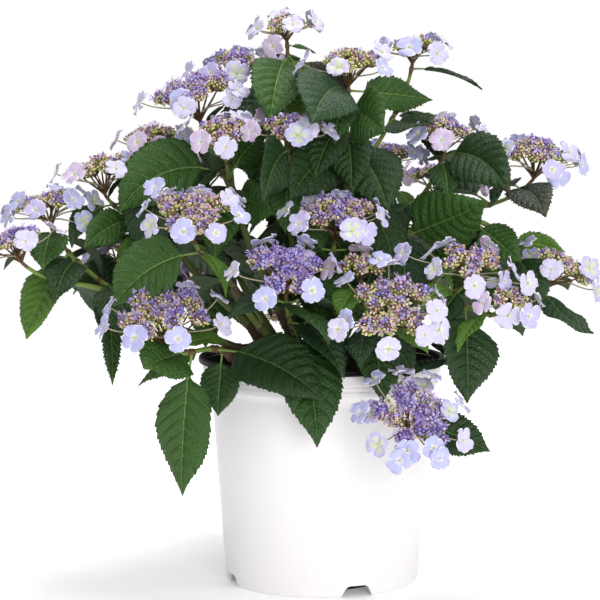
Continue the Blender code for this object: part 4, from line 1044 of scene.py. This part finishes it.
def addFloret(heap, beads, head, spot, rng):
    # three to five sepals with pale rims, and a bead in the middle
    centre, normal, _, size, turn = spot
    look = sepalLook
    size *= look["scale"]
    rows, widths = np.array(look["rows"]), np.array(look["widths"])
    across, along = np.array(look["columns"])[None, :], rows[:, None]
    count = rng.choice(look["counts"])
    lean = headTints.get(head, "pink")
    body = rng.choice((*look["bodies"], lean, lean, "blue"))
    green, limeEyed = rng.random() < look["greenish"], rng.random() < look["limeEyed"]
    for k in range(count):
        a = turn + k * 2 * math.pi / count + rng.uniform(-0.07, 0.07)
        long, wide = rng.uniform(*look["long"]), rng.uniform(*look["wide"]) * (4.0 / count) ** 0.9
        pointed = rng.uniform(*look["pointed"])
        w = widths * wide
        w = np.where(rows > 0.9, w * pointed, w)
        r = along * long * (1 - 0.05 * across**2 * (along > 0.9))
        x = across * w[:, None]
        z = look["cup"] * np.sin(along * 2.3) + look["roll"] * across * along
        z -= look["arch"] * across**2 * w[:, None]
        z += look["ruffle"] * np.sin(across * 4.2 + rng.uniform(0, 6)) * along**2
        z += 0.03 * (k % 2)
        top = np.stack([r * math.cos(a) - x * math.sin(a), r * math.sin(a) + x * math.cos(a), z], -1) * size
        n, m = top.shape[:2]
        number = np.arange(n * m).reshape(n, m)
        slots = np.full((n - 1, m - 1), sepalSlot[body])
        slots[2:, [0, -1]] = slots[-1, :] = sepalSlot["rim"]
        slots[1:3, 2:4] = slots[1, :] = sepalSlot["glow"]
        slots[0, :] = slots[1, 2:4] = sepalSlot["pale"]
        if limeEyed:
            slots[1:3, 2:4], slots[0, :] = sepalSlot["pale"], sepalSlot["eye"]
        if green:
            slots[:5, 2:4] = slots[:2, :] = sepalSlot["greenish"]
        under = top[1:-1, 1:-1] - np.array([0, 0, look["thickness"] * size])
        grid = number.copy()
        grid[1:-1, 1:-1] = n * m + np.arange((n - 2) * (m - 2)).reshape(n - 2, m - 2)
        points = np.concatenate([top.reshape(-1, 3), under.reshape(-1, 3)]) @ basis(normal) + np.array(centre)
        quads = np.concatenate([gridQuads(number, (0, 3, 2, 1)), gridQuads(grid, (1, 2, 3, 0))])
        heap.add(points, quads, np.concatenate([slots.ravel(), slots.ravel()]))
    addBud(beads, centre + normal * size * 0.07, normal, size * 0.09, slotOf["lime"], rng)


# More blooms than the rule gives, for the heads in front.
addedBlooms = {
    "crest": ((-0.040, 0.034, 0.525), (-0.045, 0.004, 0.496)),
    "above_left": ((-0.040, 0.018, 0.477), (-0.072, 0.060, 0.488)),
    "left_tier": ((-0.137, 0.022, 0.459), (-0.127, -0.035, 0.446), (-0.082, -0.035, 0.448)),
    "left_tuck": ((-0.099, -0.058, 0.426), (-0.085, -0.058, 0.424), (-0.075, -0.058, 0.432)),
    "middle_high": ((-0.063, -0.082, 0.420), (-0.015, -0.082, 0.422)),
    "left_wing": ((-0.162, 0.048, 0.420), (-0.150, 0.010, 0.404)),
    "left_shelf": ((-0.214, 0.022, 0.387), (-0.178, 0.000, 0.392)),
    "left_end": ((-0.280, 0.000, 0.353), (-0.211, 0.000, 0.352), (-0.245, 0.021, 0.362),
                 (-0.218, -0.024, 0.336)),
    "front_left": ((-0.083, -0.125, 0.363), (-0.106, -0.100, 0.365), (-0.147, -0.125, 0.372)),
    "front_middle": ((-0.056, -0.120, 0.314), (-0.018, -0.120, 0.315)),
    "middle": ((0.021, -0.066, 0.358), (0.036, -0.117, 0.333)),
    "front_full": ((0.049, -0.123, 0.309), (0.012, -0.180, 0.255), (0.086, -0.180, 0.250),
                   (0.096, -0.180, 0.271)),
    "top_tier": ((0.054, -0.025, 0.490),),
    "top_end": ((0.106, 0.012, 0.489),),
    "right_tier": ((0.112, 0.018, 0.429),),
    "right_shelf": ((0.154, -0.046, 0.391), (0.213, -0.046, 0.379), (0.210, 0.002, 0.401),
                    (0.225, -0.020, 0.399)),
    "right_end": ((0.188, -0.050, 0.304), (0.239, -0.072, 0.298)),
    "right_rim": ((0.071, -0.110, 0.314), (0.178, -0.132, 0.290)),
    "right_tuck": ((0.160, -0.144, 0.263),),
    "low_front": ((0.042, -0.172, 0.182), (0.071, -0.201, 0.153), (0.093, -0.201, 0.156),
                  (0.108, -0.172, 0.183), (0.086, -0.147, 0.201)),
    "low_left": ((-0.119, -0.099, 0.275),),
}
bloomLook = {
    "nod": 0.75, "lowest": 0.08, "towards": 0.65,  # turned outward, upward at least, and to the front
    "sizes": (0.92, 1.08), "stem": (0.0008, 0.0006), "stemSteps": 7,
}
blooms = []
for head, (centre, normal, root, size, turn) in plant.florets:
    place = plant.shoots[head][1]
    outward = (centre - place.translation).normalized()
    normal = normal + outward * bloomLook["nod"]
    normal.z = max(normal.z, bloomLook["lowest"])
    blooms.append((head, (centre, normal.normalized(), root, size, turn)))
rng = draws("added blooms")
for head, centre in [(head, Vector(centre)) for head, places in addedBlooms.items() for centre in places]:
    place, radius = plant.shoots[head][1], heads[head][2]
    hub = place @ Vector((0, 0, -stemRule["hubDepth"] * radius))
    normal = (centre - hub).normalized() + (viewer - centre).normalized() * bloomLook["towards"]
    root = place @ ((place.inverted() @ centre).normalized() * headRule["root"] * radius)
    size = headRule["floret"] * rng.uniform(*bloomLook["sizes"])
    blooms.append((head, (centre, normal.normalized(), root, size, rng.uniform(0, 3))))

florets = {"front": Heap(), "back": Heap()}
rng = draws("sepals")
for head, spot in blooms:
    centre, normal, root, _, _ = spot
    side = "front" if centre.y < frontOf else "back"
    addFloret(florets[side], buds[side], head, spot, rng)
    hub = plant.shoots[head][1] @ Vector((0, 0, -stemRule["hubDepth"] * heads[head][2] * 0.75))
    leave = (root - hub).normalized()
    end, steps = centre - normal * 0.0006, bloomLook["stemSteps"]
    path = bezier(hub, leave, end, (normal + leave * 0.6).normalized(), steps)
    limb(rays, path, tapered(*bloomLook["stem"], steps), clusterLook["raySides"], slot=pedicelTan)
for kind, heaps, finishes in (
    ("florets_", florets, palette("sepal", sepalColours, 0.55, bump=(450, 0.0003, 2), sheen=0.1)),
    ("buds_", buds, palette("bud", budColours, 0.7, specular=0.2)),
):
    for name, heap in heaps.items():
        heap.piece(kind + name, finishes, "foliage", foliageNodes)
rays.piece("rays", [
    finish("rayBrown", (0.100, 0.052, 0.026), 0.6, specular=0.1),
    finish("rayGreen", (0.200, 0.260, 0.080), 0.55),
    finish("pedicel", (0.340, 0.300, 0.210), 0.5, specular=0.2),
], "foliage", foliageNodes)


# The pot: a white shell with a black rolled lip, a dark inside, and a black underside that is painted shade.
potLook = {
    "sides": 144, "sharp": 35,  # the angle from which an edge is drawn sharp
    "notches": 4, "firstNotch": -69.3, "notch": (0.031, 0.020, 0.0105),  # foot width, top width, height
    "cornerRadius": 0.0035, "cutMargin": 0.010,
}
light, dark = range(2)


def roundPiece(name, outline, materials, closed=False, replaced=()):
    # turns an outline of (radius, height, slot) about the pot's axis
    sides, count = potLook["sides"], len(outline)
    turn = np.arange(sides) * (2 * math.pi / sides)
    rings = [np.stack([r * np.cos(turn), r * np.sin(turn), np.full(sides, z)], 1) for r, z, _ in outline]
    slots = [slot for _, _, slot in outline[:count if closed else count - 1]]
    heap = Heap()
    heap.add(np.concatenate(rings), gridQuads(ringGrid(count, sides, closed)), np.repeat(slots, sides))
    made = heap.piece(name, materials, "white_pot", replaced)
    made.data.set_sharp_from_angle(angle=math.radians(potLook["sharp"]))
    return made


def arc(r, z, radius, first, last, count):
    angles = [math.radians(first + (last - first) * k / (count - 1)) for k in range(count)]
    return [(r + radius * math.cos(a), z + radius * math.sin(a), light) for a in angles]


def near(r, z, *moves, slot=light):
    # points of an outline close to one corner
    return [(r + out, z + rise, slot) for out, rise in moves]


s = potSize
lipR, _, lipW = s["lip"]
collarR, bandR, top = s["collar"][0], s["band"][0], s["height"]
collarTop, bandTop, bandFoot, bodyTop = potHeights()
lipInner, foot, inside = lipR - lipW, s["base"] - s["foot"], s["gutter"] + s["floor"]
whitePlastic = finish("whitePlastic", (0.80, 0.775, 0.785), 0.33, bump=(60, 0.0006, 3))
# black for the lip and the inside, and as painted shade on the underside
blackPlasticAndShade = finish("blackPlasticAndShade", (0.007, 0.006, 0.006), 0.42, bump=(300, 0.0003, 3), specular=0.12)
shell = roundPiece("pot_shell", [
    # the sole and the inner wall of the foot ring are black: painted shade seen through the notches
    (0.0005, 0.0, dark), *near(s["sole"], 0.0, (-0.001, 0.0), (0.0, 0.0006), slot=dark),
    (s["sole"] + s["gutterSlope"], s["gutter"], dark), (foot, s["gutter"], dark),
    *near(foot, 0.0, (0.0, 0.0008), (0.0006, 0.0)),
    *arc(s["base"] - s["rounding"], s["rounding"], s["rounding"], -90, -5, 5),
    *near(s["bodyTop"], bodyTop, (-0.0002, -0.004), (0.0, -0.001), (0.0008, 0.0012)),
    *near(bandR, bandFoot, (-0.0016, -0.0016), (-0.0005, -0.0006), (0.0, 0.0004),
          (0.0002, 0.0046), (-0.0003, 0.0052), (0.0002, 0.0058)),
    *near(bandR, bandTop, (0.0003, -0.0014), (-0.0006, -0.0006), (-0.0006, -0.0001)),
    *near(collarR, bandTop, (-0.0010, 0.0002), (-0.0001, 0.0010), (0.0, 0.0020)),
    *near(collarR, collarTop, (0.0004, -0.0012), (0.0, -0.0003), (-0.0008, 0.0)),
    *near(lipInner, collarTop, (0.0, 0.0), (0.0, -0.002), slot=dark),
    (s["bodyTop"] - s["wall"], bodyTop, dark), (s["base"] - s["wall"], inside, dark), (0.0005, inside, dark),
], [whitePlastic, blackPlasticAndShade], replaced=["pot"])

wide, narrow, tall = potLook["notch"]
margin = potLook["cutMargin"]
cutters = []
for k in range(potLook["notches"]):
    turned = Matrix.Rotation(math.radians(potLook["firstNotch"] + 360 * k / potLook["notches"]), 4, "Z")
    cutter = bmesh.new()
    corners = []
    for out in (foot - margin, s["base"] + margin):
        for half, height in ((-0.5, -margin), (0.5, -margin), (0.5, tall), (-0.5, tall)):
            width = narrow + ((wide - narrow) / tall * (tall + margin) if height < 0 else 0)
            corners.append(cutter.verts.new(turned @ Vector((out, half * width, height))))
    for face in ((0, 1, 2, 3), (7, 6, 5, 4), (0, 4, 5, 1), (1, 5, 6, 2), (2, 6, 7, 3), (3, 7, 4, 0)):
        cutter.faces.new([corners[i] for i in face])
    radial = [e for e in cutter.edges if {corners.index(v) for v in e.verts} in ({2, 6}, {3, 7})]
    radius = potLook["cornerRadius"]
    bmesh.ops.bevel(cutter, geom=radial, offset=radius, segments=5, profile=0.5, affect="EDGES")
    bmesh.ops.recalc_face_normals(cutter, faces=cutter.faces)
    mesh = bpy.data.meshes.new("cutter")
    cutter.to_mesh(mesh)
    cutter.free()
    cutters.append(placed("cutter", mesh))
    cut = shell.modifiers.new("notch", "BOOLEAN")
    cut.operation, cut.solver, cut.object = "DIFFERENCE", "EXACT", cutters[-1]
bpy.context.view_layer.update()
cutMesh = bpy.data.meshes.new_from_object(shell.evaluated_get(bpy.context.evaluated_depsgraph_get()))
shell.modifiers.clear()
shell.data = cutMesh
for cutter in cutters:
    bpy.data.objects.remove(cutter)
roundPiece("pot_lip", [
    (lipInner, collarTop + 0.0001, light),
    *near(lipR, collarTop, (-0.0012, 0.0001), (-0.0003, 0.0005), (0.0, 0.0012),
          (0.0, 0.0019), (-0.0005, 0.0023), (0.0, 0.0027)),
    (lipR, top - 0.0015, light), *arc(lipR - 0.0014, top - 0.0014, 0.0014, 0, 90, 4),
    *near(lipInner, top, (0.0012, 0.0), (0.0003, -0.0004), (0.0, -0.0014)),
], [blackPlasticAndShade], closed=True)


# The potting mix: an uneven bed of bark crumbs.
bedLook = {
    "rings": 26, "sides": 96, "relief": 0.0022, "relax": 0.0010, "grain": (60, 0.8, 2.0, 4),
    "crumbs": 900, "crumb": (0.0016, 0.0048), "squash": ((0.35, 0.8), (0.25, 0.5)), "dent": (0.8, 1.2),
    "tilt": 0.5, "sunk": (-0.0010, 0.0008),
}
peat = finish("peat", (0.022, 0.014, 0.009), 0.9, bump=(500, 0.0012, 6))
crumbDark = finish("crumbDark", (0.035, 0.020, 0.012), 0.85, bump=(800, 0.0006, 4))
crumbLight = finish("crumbLight", (0.085, 0.050, 0.028), 0.85, bump=(800, 0.0006, 4))
bed = Heap()
rng = draws("crumbs")
bedRadius = soilOutline()[4][0]
rings, sides, (scale, *octaves) = bedLook["rings"], bedLook["sides"], bedLook["grain"]
points = []
for ring in range(rings):
    r = bedRadius * (ring + 0.02) / (rings - 1 + 0.02)
    for k in range(sides):
        p = ringPoint(r, 2 * math.pi * k / sides, s["soil"])
        lift = noise.fractal(p * scale, *octaves) * bedLook["relief"] - bedLook["relax"]
        points.append((p.x, p.y, p.z + lift))
bed.add(points, gridQuads(ringGrid(rings, sides), (0, 3, 2, 1)))
for _ in range(bedLook["crumbs"]):
    r, a = bedRadius * 0.98 * math.sqrt(rng.random()), rng.uniform(0, 2 * math.pi)
    size = rng.uniform(*bedLook["crumb"])
    squash = np.array([1.0, *(rng.uniform(*share) for share in bedLook["squash"])]) * size * 0.5
    shape = icoPoints * squash * np.array([rng.uniform(*bedLook["dent"]) for _ in range(3)])
    turned = Matrix.Rotation(rng.uniform(0, 6.3), 3, "Z")
    tilt = turned @ Matrix.Rotation(rng.uniform(-bedLook["tilt"], bedLook["tilt"]), 3, "X")
    where = np.array([r * math.cos(a), r * math.sin(a), s["soil"] + rng.uniform(*bedLook["sunk"])])
    bed.add(shape @ np.array(tilt).T + where, trios=icoFaces, trioSlots=rng.choice((1, 1, 2)))
bed.piece("potting_bed", [peat, crumbDark, crumbLight], "potting_mix", ["potting_mix"])


# The stage: pale floor, soft lights and the camera.
stageLook = {
    "floor": ((0.97, 0.97, 0.97), 0.21, 2.3, 128),  # colour, glow, reach, sides
    "lights": (  # place, aim, size, watts
        ((0.7, -3.0, 0.85), (0, 0, 0.22), 1.3, 50),
        ((1.9, -1.2, 1.6), (0, 0, 0.25), 1.2, 7),
        ((0.2, 0.3, 2.6), (0, 0, 0.2), 1.6, 48),
    ),
    "sky": 0.55, "backdrop": 1.0,
    "camera": ((-0.0203, -2.2, 0.49), (-0.0203, 0.0, 0.2615), 143.0),
}
colour, glow, reach, sides = stageLook["floor"]
turns = np.linspace(0, 2 * math.pi, sides, endpoint=False)
rim = [ringPoint(reach, turn) for turn in turns]
floorMesh = bpy.data.meshes.new("floor")
floorMesh.from_pydata(rim, [], [tuple(range(sides))])
floor = placed("floor", floorMesh)
paper = finish("floorPaper", colour, 0.8, bump=(40, 0.0002, 2), specular=0.1)
sheet = paper.node_tree.nodes["Principled BSDF"].inputs
sheet["Emission Color"].default_value, sheet["Emission Strength"].default_value = (1, 1, 1, 1), glow
floorMesh.materials.append(paper)


def aimed(name, data, place, aim):
    made = placed(name, data)
    made.location = place
    made.rotation_mode = "QUATERNION"
    made.rotation_quaternion = (Vector(aim) - Vector(place)).to_track_quat("-Z", "Y")
    return made


for k, (place, aim, size, watts) in enumerate(stageLook["lights"]):
    lamp = bpy.data.lights.new(f"softbox{k}", "AREA")
    lamp.size, lamp.energy = size, watts
    aimed(f"softbox{k}", lamp, place, aim)
world = bpy.data.worlds.new("studio")
world.use_nodes = True
skyNodes, skyLinks = world.node_tree.nodes, world.node_tree.links
lighting, backdrop = skyNodes["Background"], skyNodes.new("ShaderNodeBackground")
for shade, strength in ((lighting, stageLook["sky"]), (backdrop, stageLook["backdrop"])):
    shade.inputs["Color"].default_value = (1.0, 1.0, 1.0, 1.0)
    shade.inputs["Strength"].default_value = strength
seen, mixed = skyNodes.new("ShaderNodeLightPath"), skyNodes.new("ShaderNodeMixShader")
# the sky seen directly is whiter than the light it gives
skyLinks.new(seen.outputs["Is Camera Ray"], mixed.inputs[0])
skyLinks.new(lighting.outputs[0], mixed.inputs[1])
skyLinks.new(backdrop.outputs[0], mixed.inputs[2])
skyLinks.new(mixed.outputs[0], skyNodes["World Output"].inputs["Surface"])
bpy.context.scene.world = world
place, aim, lens = stageLook["camera"]
lensData = bpy.data.cameras.new("camera")
lensData.lens, lensData.sensor_width = lens, 36.0
bpy.context.scene.camera = aimed("camera", lensData, place, aim)
bpy.context.scene.view_settings.view_transform = "Standard"
